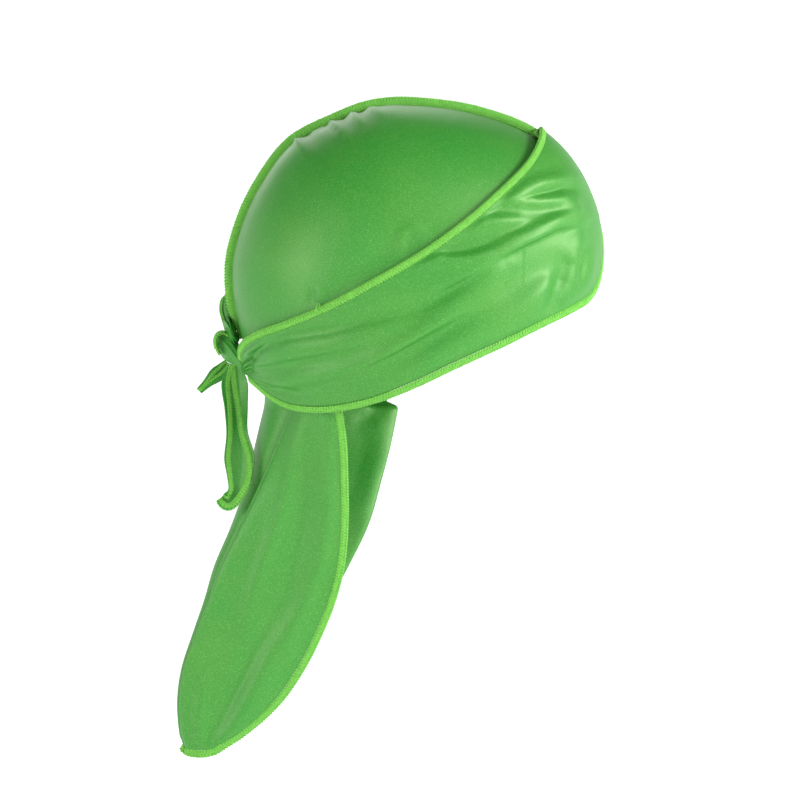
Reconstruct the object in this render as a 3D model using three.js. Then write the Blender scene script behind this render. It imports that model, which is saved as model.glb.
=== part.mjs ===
// A durag as it sits on a head: two satin crown panels joined by an overlocked centre seam that
// stands proud, two wide tie straps that cross on the forehead and meet in a knot behind, and a
// folded tail that hangs from the nape.
// Millimetres, +Z up, +X towards the face, +Y to the wearer's left.
// The origin is the inside top of the crown, the point that rests on the top of the head.

import * as THREE from "three";

// Head form that the cloth is stretched over, measured from the centre of its widest level
const HEAD_RISE = 88; // up to the inside top of the crown
const HEAD_DROP = 130; // how far down the lower half of the form would close
const HEAD_FRONT = 102.5; // forward to the forehead
const HEAD_BACK = 89; // back to the back of the head
const HEAD_HALF_BREADTH = 76; // out to the side
const HEAD_SQUARENESS = 2.25; // 2 is an ellipsoid, more is boxier

// Cloth and sewing
const CROWN_WALL = 1.2;
const STRAP_WALL = 1.0;
const TAIL_WALL = 1.0;
const TIE_WALL = 1.2;
const LAYER_GAP = 0.5; // between one cloth layer and the next
const SEWN_GAP = 0.3; // between a cloth edge and the overlock stitching on it
const HEM_WIDTH = 4.8;
const HEM_THICKNESS = 1.8;
const SEAM_HEIGHT = 4.4; // how far the centre seam stands out from the crown
const SEAM_THICKNESS = 2.0;
const CROWN_TUCK = 6; // degrees that the crown's rim stays above the straps' lower hems
const TAIL_LENGTH = 187; // from just under the straps to the tip
const FOLD_RADIUS = 1.3; // of the tail's sharp folds

// Knot and tie ends
const KNOT_ELEVATION = -23.4; // degrees below the widest level
const KNOT_STAND_OFF = 9.8; // knot centre out from the crown
const KNOT_DEPTH = 10;
const KNOT_HEIGHT = 16.5;
const KNOT_ARM_CLEARANCE = 0.7; // from the straps' ends to its arms
const KNOT_ARM_RISE = 2.5; // how far its arms bow up on their way to the straps
const LOOP_HEIGHT = 18.6;
const LOOP_DEPTH = 6.4;
const LOOP_WIDTH = 10;
const LONG_END_LENGTH = 70;
const LONG_END_WIDTH = 16;
const SHORT_END_LENGTH = 21;
const SHORT_END_WIDTH = 11;

// Mesh density
const CROWN_STEPS = 27;
const CROWN_ROWS = 9;
const STRAP_STEPS = 37;
const STRAP_ROWS = 12;
const SEAM_STEPS = 26;
const TAIL_ROWS = 16;

const RIGHT = -1; // the wearer's right, on -Y
const LEFT = 1;

// The side view of the head, as shares of a plain ellipse, by angle from the face over the top
const headProfile = [
  { angle: -60, share: 0.9 },
  { angle: -40, share: 0.93 },
  { angle: -15, share: 0.965 },
  { angle: 0, share: 0.985 },
  { angle: 20, share: 1.035 },
  { angle: 42, share: 1.068 },
  { angle: 64, share: 1.025 },
  { angle: 80, share: 1.002 },
  { angle: 90, share: 1.0 },
  { angle: 100, share: 0.996 },
  { angle: 114, share: 0.98 },
  { angle: 130, share: 0.996 },
  { angle: 146, share: 0.975 },
  { angle: 163, share: 0.975 },
  { angle: 180, share: 0.993 },
  { angle: 200, share: 0.98 },
  { angle: 222, share: 0.93 },
  { angle: 250, share: 0.9 },
];

// Middles of a strap's two hems, in degrees above the widest level, by azimuth from the face.
// The rows before 0 are the stretch that has crossed over to the other side of the forehead.
const strapEdges = [
  { azimuth: -27, lower: 36.5, upper: 42.0 },
  { azimuth: -18, lower: 28.0, upper: 43.4 },
  { azimuth: -9, lower: 18.0, upper: 44.4 },
  { azimuth: 0, lower: 7.5, upper: 44.8 },
  { azimuth: 8, lower: -2.0, upper: 44.2 },
  { azimuth: 16, lower: -7.5, upper: 42.6 },
  { azimuth: 26, lower: -11.5, upper: 38.8 },
  { azimuth: 37, lower: -16.5, upper: 33.2 },
  { azimuth: 51, lower: -24.4, upper: 25.6 },
  { azimuth: 66, lower: -32.4, upper: 15.8 },
  { azimuth: 82, lower: -39.7, upper: 5.2 },
  { azimuth: 99, lower: -44.8, upper: -4.6 },
  { azimuth: 117, lower: -47.2, upper: -13.4 },
  { azimuth: 134, lower: -47.0, upper: -18.6 },
  { azimuth: 148, lower: -45.0, upper: -21.2 },
  { azimuth: 160, lower: -40.8, upper: -23.8 },
  { azimuth: 167, lower: -37.2, upper: -26.2 },
  { azimuth: 172, lower: -35.2, upper: -29.0 },
];

// How many hem thicknesses the middle of the cloth lies above the crown: the right strap lies
// over the left one on the forehead, and both ride up on their own gathers at the knot
const strapLift = [
  { azimuth: -27, right: 2.2, left: 0.5 },
  { azimuth: 0, right: 2.2, left: 0.5 },
  { azimuth: 24, right: 2.1, left: 0.6 },
  { azimuth: 44, right: 1.5, left: 1.2 },
  { azimuth: 80, right: 0.6, left: 0.6 },
  { azimuth: 140, right: 0.7, left: 0.7 },
  { azimuth: 160, right: 1.4, left: 1.4 },
  { azimuth: 172, right: 2.2, left: 2.2 },
];

// Folds along a strap: where each starts and ends, across as a share from the lower hem to the
// upper one, and its height in hem thicknesses and half width in hem widths
const strapFolds = [
  { start: 6, end: 118, startAcross: 0.52, endAcross: 0.72, height: 1.1, width: 1.3 },
  { start: 22, end: 112, startAcross: 0.12, endAcross: 0.24, height: 1.2, width: 1.5 },
  { start: 34, end: 152, startAcross: 0.32, endAcross: 0.48, height: 1.1, width: 1.4 },
  { start: 70, end: 178, startAcross: 0.64, endAcross: 0.72, height: 1.0, width: 1.1 },
  { start: 112, end: 178, startAcross: 0.24, endAcross: 0.34, height: 0.9, width: 1.1 },
];

// Level sections of the tail, by drop as a share of TAIL_LENGTH. hem, nearFold, back and farFold
// are places back from the origin as shares of the nape's own, and pleat and turnBack are lengths
// as shares of the same. spread is a share of the tail's half width under the strap.
const tailSections = [
  { drop: 0.0, hem: 0.46, nearFold: 0.77, back: 0.97, farFold: 0.02, spread: 0.88, pleat: 0.13, turnBack: 0.2 },
  { drop: 0.09, hem: 0.43, nearFold: 0.86, back: 1.025, farFold: 0.065, spread: 0.78, pleat: 0.15, turnBack: 0.28 },
  { drop: 0.2, hem: 0.42, nearFold: 0.98, back: 1.09, farFold: 0.135, spread: 0.6, pleat: 0.13, turnBack: 0.3 },
  { drop: 0.33, hem: 0.42, nearFold: 1.135, back: 1.2, farFold: 0.23, spread: 0.45, pleat: 0.1, turnBack: 0.28 },
  { drop: 0.45, hem: 0.45, nearFold: 1.275, back: 1.325, farFold: 0.375, spread: 0.36, pleat: 0.07, turnBack: 0.2 },
  { drop: 0.54, hem: 0.51, nearFold: 1.355, back: 1.39, farFold: 0.495, spread: 0.3, pleat: 0.06, turnBack: 0.12 },
  { drop: 0.64, hem: 0.61, nearFold: 1.45, back: 1.475, farFold: 0.63, spread: 0.25, pleat: 0.06, turnBack: 0.08 },
  { drop: 0.74, hem: 0.74, nearFold: 1.535, back: 1.555, farFold: 0.77, spread: 0.2, pleat: 0.06, turnBack: 0.08 },
  { drop: 0.83, hem: 0.9, nearFold: 1.565, back: 1.585, farFold: 0.92, spread: 0.17, pleat: 0.06, turnBack: 0.08 },
  { drop: 0.91, hem: 1.11, nearFold: 1.555, back: 1.575, farFold: 1.13, spread: 0.14, pleat: 0.06, turnBack: 0.08 },
  { drop: 0.97, hem: 1.33, nearFold: 1.53, back: 1.55, farFold: 1.35, spread: 0.12, pleat: 0.06, turnBack: 0.07 },
];

// Where the bends of those sections lie on the head, under the straps, by azimuth
const tailBends = [
  { bend: "near hem", azimuth: 121 },
  { bend: "near panel, front", azimuth: 129 },
  { bend: "near panel, back", azimuth: 137 },
  { bend: "into the near fold", azimuth: 143 },
  { bend: "near fold", azimuth: 145 },
  { bend: "out of the near fold", azimuth: 147 },
  { bend: "into the pleat", azimuth: 149 },
  { bend: "pleat", azimuth: 151 },
  { bend: "out of the pleat", azimuth: 153 },
  { bend: "beside the back fold", azimuth: 161 },
  { bend: "back fold", azimuth: 171 },
  { bend: "far panel, back", azimuth: 192 },
  { bend: "far panel, front", azimuth: 222 },
  { bend: "into the far fold", azimuth: 252 },
  { bend: "far fold", azimuth: 257 },
  { bend: "out of the far fold", azimuth: 261 },
  { bend: "far hem", azimuth: 266 },
];

// The tie ends' middle lines and widths, as shares of their length and width from the knot.
// aft is away from the head, side is towards +Y, and cup is how far the middle sinks in.
const longEnd = [
  { aft: -0.07, side: -0.16, drop: 0.008, width: 0.34, cup: 0.04 },
  { aft: -0.09, side: -0.16, drop: 0.15, width: 0.85, cup: 0.12 },
  { aft: -0.15, side: -0.34, drop: 0.34, width: 0.76, cup: 0.16 },
  { aft: -0.19, side: -0.72, drop: 0.53, width: 0.7, cup: 0.16 },
  { aft: -0.27, side: -0.98, drop: 0.72, width: 1.0, cup: 0.14 },
  { aft: -0.27, side: -1.06, drop: 0.88, width: 0.8, cup: 0.14 },
  { aft: -0.15, side: -1.08, drop: 0.99, width: 0.52, cup: 0.16 },
  { aft: 0.11, side: -1.1, drop: 1.06, width: 0.5, cup: 0.2 },
  { aft: 0.31, side: -1.06, drop: 1.02, width: 0.46, cup: 0.2 },
];
const shortEnd = [
  { aft: 0.2, side: 0.26, drop: 0.0, width: 0.4, cup: 0.04 },
  { aft: 0.54, side: 0.26, drop: 0.22, width: 0.7, cup: 0.14 },
  { aft: 0.8, side: 0.24, drop: 0.33, width: 0.7, cup: 0.18 },
  { aft: 1.2, side: 0.24, drop: 0.52, width: 0.42, cup: 0.14 },
  { aft: 1.6, side: 0.28, drop: 0.72, width: 0.28, cup: 0.08 },
];

const { degToRad, radToDeg, lerp, clamp } = THREE.MathUtils;
const centre = new THREE.Vector3(0, 0, -HEAD_RISE);
const satin = new THREE.MeshStandardMaterial({ color: 0x4fae52, roughness: 0.38, metalness: 0 });
const thread = new THREE.MeshStandardMaterial({ color: 0x72c259, roughness: 0.7, metalness: 0 });

// A smooth value from a table's column at x: a cubic through its rows, level past both ends
function along(table, key, column, x) {
  const last = table.length - 1;
  const run = (i) => table[i + 1][key] - table[i][key];
  const slope = (i) => (table[i + 1][column] - table[i][column]) / run(i);
  const tangent = (i) => {
    if (i === 0) return slope(0);
    if (i === last) return slope(last - 1);
    return (slope(i - 1) * run(i) + slope(i) * run(i - 1)) / (run(i - 1) + run(i));
  };
  let i = 0;
  while (i < last - 1 && x > table[i + 1][key]) i += 1;
  const t = clamp((x - table[i][key]) / run(i), 0, 1);
  const rise = t * t * (3 - 2 * t);
  const bend = run(i) * t * (1 - t) * ((1 - t) * tangent(i) - t * tangent(i + 1));
  return lerp(table[i][column], table[i + 1][column], rise) + bend;
}

// Distance from the centre to the head form in a direction
function headRadius({ x, y, z }) {
  const level = Math.hypot(x, z) || 1e-9;
  let angle = radToDeg(Math.atan2(z, x));
  if (angle < -90) angle += 360;
  const reach = x >= 0 ? HEAD_FRONT : HEAD_BACK;
  const height = z >= 0 ? HEAD_RISE : HEAD_DROP;
  const ellipse = 1 / Math.hypot(x / level / reach, z / level / height);
  const side = ellipse * along(headProfile, "angle", "share", angle);
  const p = HEAD_SQUARENESS;
  return ((level / side) ** p + (Math.abs(y) / HEAD_HALF_BREADTH) ** p) ** (-1 / p);
}

// Unit direction from an azimuth (0 at the face, 90 at the given side) and an elevation
function directionOf(azimuth, elevation, side) {
  const a = degToRad(azimuth);
  const e = degToRad(elevation);
  return new THREE.Vector3(
    Math.cos(e) * Math.cos(a),
    side * Math.cos(e) * Math.sin(a),
    Math.sin(e),
  );
}

// The point of the head form in a direction, moved out by an offset
function onHead(direction, offset) {
  return direction.clone().multiplyScalar(headRadius(direction) + offset).add(centre);
}

// The direction a share of the way round from one direction to another
function between(from, to, share) {
  const angle = from.angleTo(to);
  return from
    .clone()
    .multiplyScalar(Math.sin((1 - share) * angle))
    .addScaledVector(to, Math.sin(share * angle))
    .normalize();
}

// Geometry from points and triangles, turned so that its faces point out
function closedGeometry(points, triangles) {
  let volume = 0;
  for (const [a, b, c] of triangles) {
    volume += points[a].dot(points[b].clone().cross(points[c]));
  }
  const index = triangles.flatMap(([a, b, c]) => (volume > 0 ? [a, b, c] : [a, c, b]));
  const geometry = new THREE.BufferGeometry().setFromPoints(points);
  geometry.setIndex(index);
  geometry.computeVertexNormals();
  return geometry;
}

// Closed rings of points skinned one to the next, with a flat fan at each end
function skinRings(rings) {
  const sides = rings[0].length;
  const triangles = [];
  for (let i = 0; i + 1 < rings.length; i += 1) {
    for (let j = 0; j < sides; j += 1) {
      const a = i * sides + j;
      const b = i * sides + ((j + 1) % sides);
      triangles.push([a, b, b + sides], [a, b + sides, a + sides]);
    }
  }
  const end = (rings.length - 1) * sides;
  for (let j = 1; j + 1 < sides; j += 1) {
    triangles.push([0, j + 1, j], [end, end + j, end + j + 1]);
  }
  return closedGeometry(rings.flat(), triangles);
}

// Unit normals of a grid of points
function gridNormals(grid) {
  return grid.map((row, i) =>
    row.map((_, j) => {
      const before = grid[Math.max(i - 1, 0)][j];
      const after = grid[Math.min(i + 1, grid.length - 1)][j];
      const down = after.clone().sub(before);
      const across = row[Math.min(j + 1, row.length - 1)].clone().sub(row[Math.max(j - 1, 0)]);
      return down.cross(across).normalize();
    }),
  );
}

// A cloth wall whose middle surface is the grid: each row becomes a ring round its thickness
function clothWall(grid, thickness) {
  const normals = gridNormals(grid);
  const face = (i, share) =>
    grid[i].map((point, j) => point.clone().addScaledVector(normals[i][j], share * thickness));
  const rings = grid.map((_, i) => [...face(i, 0.5), ...face(i, -0.5).reverse()]);
  const columns = grid[0].length;
  const sides = 2 * columns;
  const triangles = [];
  for (let i = 0; i + 1 < grid.length; i += 1) {
    for (let j = 0; j < sides; j += 1) {
      const a = i * sides + j;
      const b = i * sides + ((j + 1) % sides);
      triangles.push([a, b, b + sides], [a, b + sides, a + sides]);
    }
  }
  const end = (grid.length - 1) * sides;
  for (let j = 0; j + 1 < columns; j += 1) {
    const [a, b, c, d] = [j, j + 1, sides - 2 - j, sides - 1 - j];
    triangles.push([a, c, b], [a, d, c]);
    triangles.push([end + a, end + b, end + c], [end + a, end + c, end + d]);
  }
  return closedGeometry(rings.flat(), triangles);
}

// The flattened section of an overlocked edge: across as a share of its width, out of its thickness
const stitchedSection = [
  { across: -0.5, out: 0 },
  { across: -0.32, out: 0.5 },
  { across: 0.32, out: 0.5 },
  { across: 0.5, out: 0 },
  { across: 0.32, out: -0.5 },
  { across: -0.32, out: -0.5 },
];

// A stitched strip: each station has its middle point, the direction across it and its normal
function stitchedStrip(stations, width, thickness) {
  return skinRings(
    stations.map(({ middle, across, normal }) =>
      stitchedSection.map((corner) =>
        middle
          .clone()
          .addScaledVector(across, corner.across * width)
          .addScaledVector(normal, corner.out * thickness),
      ),
    ),
  );
}

// One half of the crown, from the centre seam down to a rim hidden under the strap
const SEAM_ANGLES = [15, 211];
const RIM_AZIMUTHS = [5, 175];
function crownPanel(side) {
  const grid = [];
  for (let i = 0; i < CROWN_STEPS; i += 1) {
    const share = i / (CROWN_STEPS - 1);
    const angle = degToRad(lerp(...SEAM_ANGLES, share));
    const azimuth = lerp(...RIM_AZIMUTHS, share);
    const seam = new THREE.Vector3(Math.cos(angle), 0, Math.sin(angle));
    const hem = along(strapEdges, "azimuth", "lower", azimuth);
    const rim = directionOf(azimuth, hem + CROWN_TUCK, side);
    const row = [];
    for (let j = 0; j < CROWN_ROWS; j += 1) {
      row.push(onHead(between(seam, rim, j / (CROWN_ROWS - 1)), CROWN_WALL / 2));
    }
    row[0].y = (side * SEWN_GAP) / 2;
    grid.push(row);
  }
  return clothWall(grid, CROWN_WALL);
}

// The overlocked centre seam: a low fin on the crown, tapered where it runs under the knot
const FIN_ANGLES = [47, 203];
const FIN_TAPER = [189, 204];
const FIN_LOW = 0.15; // its height under the knot, as a share
function crownSeam() {
  const rings = [];
  for (let i = 0; i < SEAM_STEPS; i += 1) {
    const angle = lerp(...FIN_ANGLES, i / (SEAM_STEPS - 1));
    const lowered = THREE.MathUtils.smoothstep(angle, ...FIN_TAPER);
    const height = SEAM_HEIGHT * lerp(1, FIN_LOW, lowered);
    const direction = new THREE.Vector3(Math.cos(degToRad(angle)), 0, Math.sin(degToRad(angle)));
    const foot = onHead(direction, CROWN_WALL + SEWN_GAP);
    const half = SEAM_THICKNESS / 2;
    const corner = (y, up) => foot.clone().addScaledVector(direction, up).setY(y);
    rings.push([
      corner(-half, 0),
      corner(-half, height * 0.7),
      corner(-half / 2, height),
      corner(half / 2, height),
      corner(half, height * 0.7),
      corner(half, 0),
    ]);
  }
  return skinRings(rings);
}

// How far the middle of a strap's cloth lies out from the head form, without its folds
function strapOffset(azimuth, side) {
  const lift = along(strapLift, "azimuth", side === RIGHT ? "right" : "left", azimuth);
  return CROWN_WALL + LAYER_GAP + (lift + 0.5) * HEM_THICKNESS;
}

// One hem's stations: middle point, direction across towards the cloth, and normal
function strapHem(side, column) {
  const azimuths = [strapEdges[0].azimuth, strapEdges.at(-1).azimuth];
  const middles = [];
  const outward = [];
  for (let i = 0; i < STRAP_STEPS; i += 1) {
    const azimuth = lerp(...azimuths, i / (STRAP_STEPS - 1));
    const elevation = along(strapEdges, "azimuth", column, azimuth);
    const direction = directionOf(azimuth, elevation, side);
    middles.push(onHead(direction, strapOffset(azimuth, side)));
    outward.push(direction);
  }
  const inwards = column === "lower" ? side : -side;
  return middles.map((middle, i) => {
    const before = middles[Math.max(i - 1, 0)];
    const after = middles[Math.min(i + 1, middles.length - 1)];
    const tangent = after.clone().sub(before).normalize();
    const across = outward[i].clone().cross(tangent).multiplyScalar(inwards).normalize();
    return { middle, across, normal: tangent.cross(across).normalize() };
  });
}

// Height of the folds on a strap's cloth at an azimuth and a share across it
function foldHeight(azimuth, across, breadth) {
  let height = 0;
  for (const fold of strapFolds) {
    const share = (azimuth - fold.start) / (fold.end - fold.start);
    if (share <= 0 || share >= 1) continue;
    const crest = lerp(fold.startAcross, fold.endAcross, share);
    const away = ((across - crest) * breadth) / (fold.width * HEM_WIDTH);
    height += fold.height * HEM_THICKNESS * Math.sin(Math.PI * share) ** 0.7 * Math.exp(-away * away);
  }
  return height * Math.sin(Math.PI * across) ** 0.5;
}

// The middle surface of one wide tie strap's cloth, between the two hems that edge it
function strapGrid(side) {
  const lower = strapHem(side, "lower");
  const upper = strapHem(side, "upper");
  const azimuths = [strapEdges[0].azimuth, strapEdges.at(-1).azimuth];
  const inset = HEM_WIDTH / 2 + SEWN_GAP;
  const edge = ({ middle, across }) => middle.clone().addScaledVector(across, inset).sub(centre);
  return lower.map((station, i) => {
    const azimuth = lerp(...azimuths, i / (STRAP_STEPS - 1));
    const low = edge(station);
    const high = edge(upper[i]);
    const row = [];
    for (let j = 0; j < STRAP_ROWS; j += 1) {
      const across = j / (STRAP_ROWS - 1);
      const folds = foldHeight(azimuth, across, low.distanceTo(high));
      const direction = between(low.clone().normalize(), high.clone().normalize(), across);
      row.push(onHead(direction, strapOffset(azimuth, side) + folds));
    }
    return row;
  });
}

const straps = { [RIGHT]: strapGrid(RIGHT), [LEFT]: strapGrid(LEFT) };

// The tail: its top rows lie on the head below the crown's rim, and the rest hangs free
const TAIL_TUCK_ROWS = [CROWN_TUCK - 1.8, CROWN_TUCK / 2, 0]; // degrees above the strap's hem
const SAMPLES_PER_BEND = 2;

function tailBendsOnHead(tuck) {
  return tailBends.map(({ azimuth }) => {
    const mirrored = azimuth > 180 ? 360 - azimuth : azimuth;
    const side = azimuth > 180 ? LEFT : RIGHT;
    const hem = along(strapEdges, "azimuth", "lower", mirrored);
    return onHead(directionOf(mirrored, hem + tuck, side), TAIL_WALL / 2);
  });
}

const underStrap = tailBendsOnHead(0);
const napeX = underStrap.find((_, i) => tailBends[i].bend === "back fold").x;
const tailHalfWidth = -underStrap[0].y;
const tailTop = Math.min(...underStrap.map((point) => point.z)) - HEM_WIDTH / 2 - SEWN_GAP;

function tailBendsHanging(drop) {
  const size = (column) => along(tailSections, "drop", column, drop);
  const aft = (column) => size(column) * napeX;
  const z = tailTop - drop * TAIL_LENGTH;
  const spread = size("spread") * tailHalfWidth;
  const r = FOLD_RADIUS;
  const near = aft("nearFold");
  const back = aft("back");
  const pleat = near - aft("pleat");
  const far = aft("farFold");
  const turned = far + aft("turnBack");
  const nearY = -0.62 * spread;
  const innerY = nearY + 4 * r;
  const outline = [
    [aft("hem"), -spread],
    [lerp(aft("hem"), near, 0.35), -0.95 * spread],
    [lerp(aft("hem"), near, 0.7), -0.82 * spread],
    [near + r, nearY],
    [near, nearY + r],
    [near + r, nearY + 2 * r],
    [pleat - r, nearY + 2 * r],
    [pleat, nearY + 3 * r],
    [pleat - r, innerY],
    [lerp(near, back, 0.4), lerp(innerY, 0.5 * spread, 0.12)],
    [back, lerp(innerY, 0.5 * spread, 0.5)],
    [lerp(back, far, 0.08), lerp(innerY, 0.5 * spread, 0.95)],
    [lerp(back, far, 0.5), 0.8 * spread],
    [far - r, spread],
    [far, spread + r],
    [far - r, spread + 2 * r],
    [turned, spread + 2 * r],
  ];
  return outline.map(([x, y]) => new THREE.Vector3(x, y, z));
}

function tailGrid() {
  const rows = TAIL_TUCK_ROWS.map(tailBendsOnHead);
  for (let i = 0; i < TAIL_ROWS; i += 1) {
    rows.push(tailBendsHanging((tailSections.at(-1).drop * i) / (TAIL_ROWS - 1)));
  }
  return rows.map((bends) => {
    const curve = new THREE.CatmullRomCurve3(bends, false, "centripetal");
    return curve.getPoints((bends.length - 1) * SAMPLES_PER_BEND);
  });
}

// The hem down the tail's near edge and along its tip to the back fold
function tailHem(grid) {
  const normals = gridNormals(grid);
  const last = grid.length - 1;
  const firstRow = TAIL_TUCK_ROWS.length;
  const corners = 10 * SAMPLES_PER_BEND;
  const places = [];
  for (let i = firstRow; i <= last; i += 1) places.push({ i, j: 0 });
  for (let j = 1; j <= corners; j += 1) places.push({ i: last, j });
  const out = (i, j) => {
    const down = grid[last][j].clone().sub(grid[last - 1][j]).normalize();
    const forward = grid[i][0].clone().sub(grid[i][1]).normalize();
    if (i < last) return forward;
    return j === 0 ? down.add(forward).normalize() : down;
  };
  const points = places.map(({ i, j }) => grid[i][j]);
  const stations = places.map(({ i, j }, k) => {
    const before = points[Math.max(k - 1, 0)];
    const after = points[Math.min(k + 1, points.length - 1)];
    const tangent = after.clone().sub(before).normalize();
    const across = out(i, j);
    across.addScaledVector(tangent, -across.dot(tangent)).normalize();
    const middle = grid[i][j].clone().addScaledVector(across, HEM_WIDTH / 2 + SEWN_GAP);
    return { middle, across, normal: normals[i][j] };
  });
  return stitchedStrip(stations, HEM_WIDTH, HEM_THICKNESS);
}

const knotDirection = directionOf(180, KNOT_ELEVATION, RIGHT);
const knotCentre = onHead(knotDirection, CROWN_WALL + KNOT_STAND_OFF);
const upAlongHead = new THREE.Vector3(0, 1, 0).cross(knotDirection).normalize();

// The knot: an upright oval body with an arm down to the end of each strap
function knot() {
  const stations = [
    { share: 1, depth: 0.46, height: 0.4 },
    { share: 0.66, depth: 0.62, height: 0.6 },
    { share: 0.4, depth: 0.86, height: 0.86 },
    { share: 0.16, depth: 1, height: 1 },
  ];
  const sides = 12;
  const ring = (side, { share, depth, height }) => {
    const strapEnd = straps[side].at(-1);
    const arm = strapEnd[0].clone().lerp(strapEnd.at(-1), 0.5);
    arm.y -= side * KNOT_ARM_CLEARANCE;
    const middle = knotCentre.clone().lerp(arm, share);
    middle.addScaledVector(upAlongHead, KNOT_ARM_RISE * Math.sin(Math.PI * share));
    const points = [];
    for (let k = 0; k < sides; k += 1) {
      const turn = (2 * Math.PI * k) / sides;
      points.push(
        middle
          .clone()
          .addScaledVector(knotDirection, (Math.cos(turn) * depth * KNOT_DEPTH) / 2)
          .addScaledVector(upAlongHead, (Math.sin(turn) * height * KNOT_HEIGHT) / 2),
      );
    }
    return points;
  };
  const right = stations.map((station) => ring(RIGHT, station));
  const left = stations.map((station) => ring(LEFT, station));
  return skinRings([...right, ...left.reverse()]);
}

// The small loop of strap pulled up out of the knot: a band that goes up and folds back down
function knotLoop() {
  const path = [
    { aft: -0.2, up: -0.07 },
    { aft: 0.12, up: 0.3 },
    { aft: 0.36, up: 0.6 },
    { aft: 0.26, up: 0.88 },
    { aft: -0.12, up: 0.98 },
    { aft: -0.5, up: 0.8 },
    { aft: -0.56, up: 0.44 },
    { aft: -0.58, up: -0.03 },
  ];
  const foot = knotCentre.clone();
  foot.z += KNOT_HEIGHT / 2 + SEWN_GAP;
  const points = path.map(({ aft, up }) =>
    foot
      .clone()
      .addScaledVector(new THREE.Vector3(-1, 0, 0), aft * LOOP_DEPTH)
      .addScaledVector(new THREE.Vector3(0, 0, 1), up * LOOP_HEIGHT),
  );
  const line = new THREE.CatmullRomCurve3(points, false, "centripetal").getPoints(20);
  const besideSeam = SEAM_THICKNESS / 2 + LAYER_GAP;
  const grid = line.map((point) =>
    [0, 0.25, 0.5, 0.75, 1].map((share) => point.clone().setY(besideSeam + share * LOOP_WIDTH)),
  );
  return clothWall(grid, TIE_WALL);
}

// A tie end: a ribbon seen flat from the side, cupped along its middle
function tieEnd(table, length, width, steps) {
  const top = knotCentre.clone().addScaledVector(upAlongHead, -KNOT_HEIGHT / 2);
  top.z -= SEWN_GAP + TIE_WALL / 2;
  const points = table.map(
    ({ aft, side, drop }) =>
      new THREE.Vector3(top.x - aft * width, side * width, top.z - drop * length),
  );
  const curve = new THREE.CatmullRomCurve3(points, false, "centripetal");
  const shares = table.map((row, i) => ({ ...row, at: i / (table.length - 1) }));
  const grid = [];
  for (let i = 0; i <= steps; i += 1) {
    const at = i / steps;
    const middle = curve.getPoint(at);
    const tangent = curve.getTangent(at);
    const across = new THREE.Vector3(-tangent.z, 0, tangent.x).normalize();
    const half = (along(shares, "at", "width", at) * width) / 2;
    const cup = along(shares, "at", "cup", at) * width;
    grid.push(
      [-1, -0.6, -0.2, 0.2, 0.6, 1].map((share) => {
        const point = middle.clone().addScaledVector(across, share * half);
        point.y += cup * (0.5 - share * share);
        return point;
      }),
    );
  }
  return clothWall(grid, TIE_WALL);
}

const durag = new THREE.Group();
function add(name, geometry, material) {
  const mesh = new THREE.Mesh(geometry, material);
  mesh.name = name;
  durag.add(mesh);
}

for (const [name, side] of [["right", RIGHT], ["left", LEFT]]) {
  add(`crown_panel_${name}`, crownPanel(side), satin);
  add(`strap_${name}`, clothWall(straps[side], STRAP_WALL), satin);
  for (const column of ["upper", "lower"]) {
    const stations = strapHem(side, column);
    add(`strap_${name}_${column}_hem`, stitchedStrip(stations, HEM_WIDTH, HEM_THICKNESS), thread);
  }
}
add("crown_seam", crownSeam(), thread);
const tail = tailGrid();
add("tail", clothWall(tail, TAIL_WALL), satin);
add("tail_hem", tailHem(tail), thread);
add("knot", knot(), satin);
add("knot_loop", knotLoop(), satin);
add("tie_end_long", tieEnd(longEnd, LONG_END_LENGTH, LONG_END_WIDTH, 22), satin);
add("tie_end_short", tieEnd(shortEnd, SHORT_END_LENGTH, SHORT_END_WIDTH, 10), satin);

export default durag;
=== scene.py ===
# %% [markdown]
# # A satin durag, worn
# A durag is two satin panels sewn into a crown, two wide straps that cross on the forehead and
# knot behind, and a long tail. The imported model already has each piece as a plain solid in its
# place. This notebook makes the cloth again, finer: thin sheets with their creases, edges wound
# with thread, and finishes for both. The frame is loaded first, because every piece is put
# where its solid is and rides on the same body.

import bpy
import numpy as np
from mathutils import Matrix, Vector


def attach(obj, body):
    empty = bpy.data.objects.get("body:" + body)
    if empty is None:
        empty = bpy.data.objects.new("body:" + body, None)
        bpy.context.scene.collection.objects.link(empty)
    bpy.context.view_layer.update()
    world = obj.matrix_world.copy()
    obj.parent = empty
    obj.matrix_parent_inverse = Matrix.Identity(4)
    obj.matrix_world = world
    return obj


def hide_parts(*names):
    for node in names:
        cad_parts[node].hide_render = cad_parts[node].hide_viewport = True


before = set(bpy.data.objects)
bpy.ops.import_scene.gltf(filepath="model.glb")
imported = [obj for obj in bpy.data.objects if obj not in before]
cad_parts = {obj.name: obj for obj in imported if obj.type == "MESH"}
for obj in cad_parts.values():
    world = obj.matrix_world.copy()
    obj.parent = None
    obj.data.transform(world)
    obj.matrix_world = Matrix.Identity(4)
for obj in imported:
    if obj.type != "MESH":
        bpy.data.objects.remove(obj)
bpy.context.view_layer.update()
print("solids:", ", ".join(sorted(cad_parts)))

# %% [markdown]
# ## The head form
# The crown is stretched over a head, so all its cloth follows one smooth form. It could be
# sculpted, but then the straps and tail would have to be fitted to it by eye. Here the form is a
# formula, the same one that the solids use: an ellipse seen from the side, corrected by a short
# table, and a slightly boxy section. Lengths are in millimetres until a mesh is made.

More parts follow.
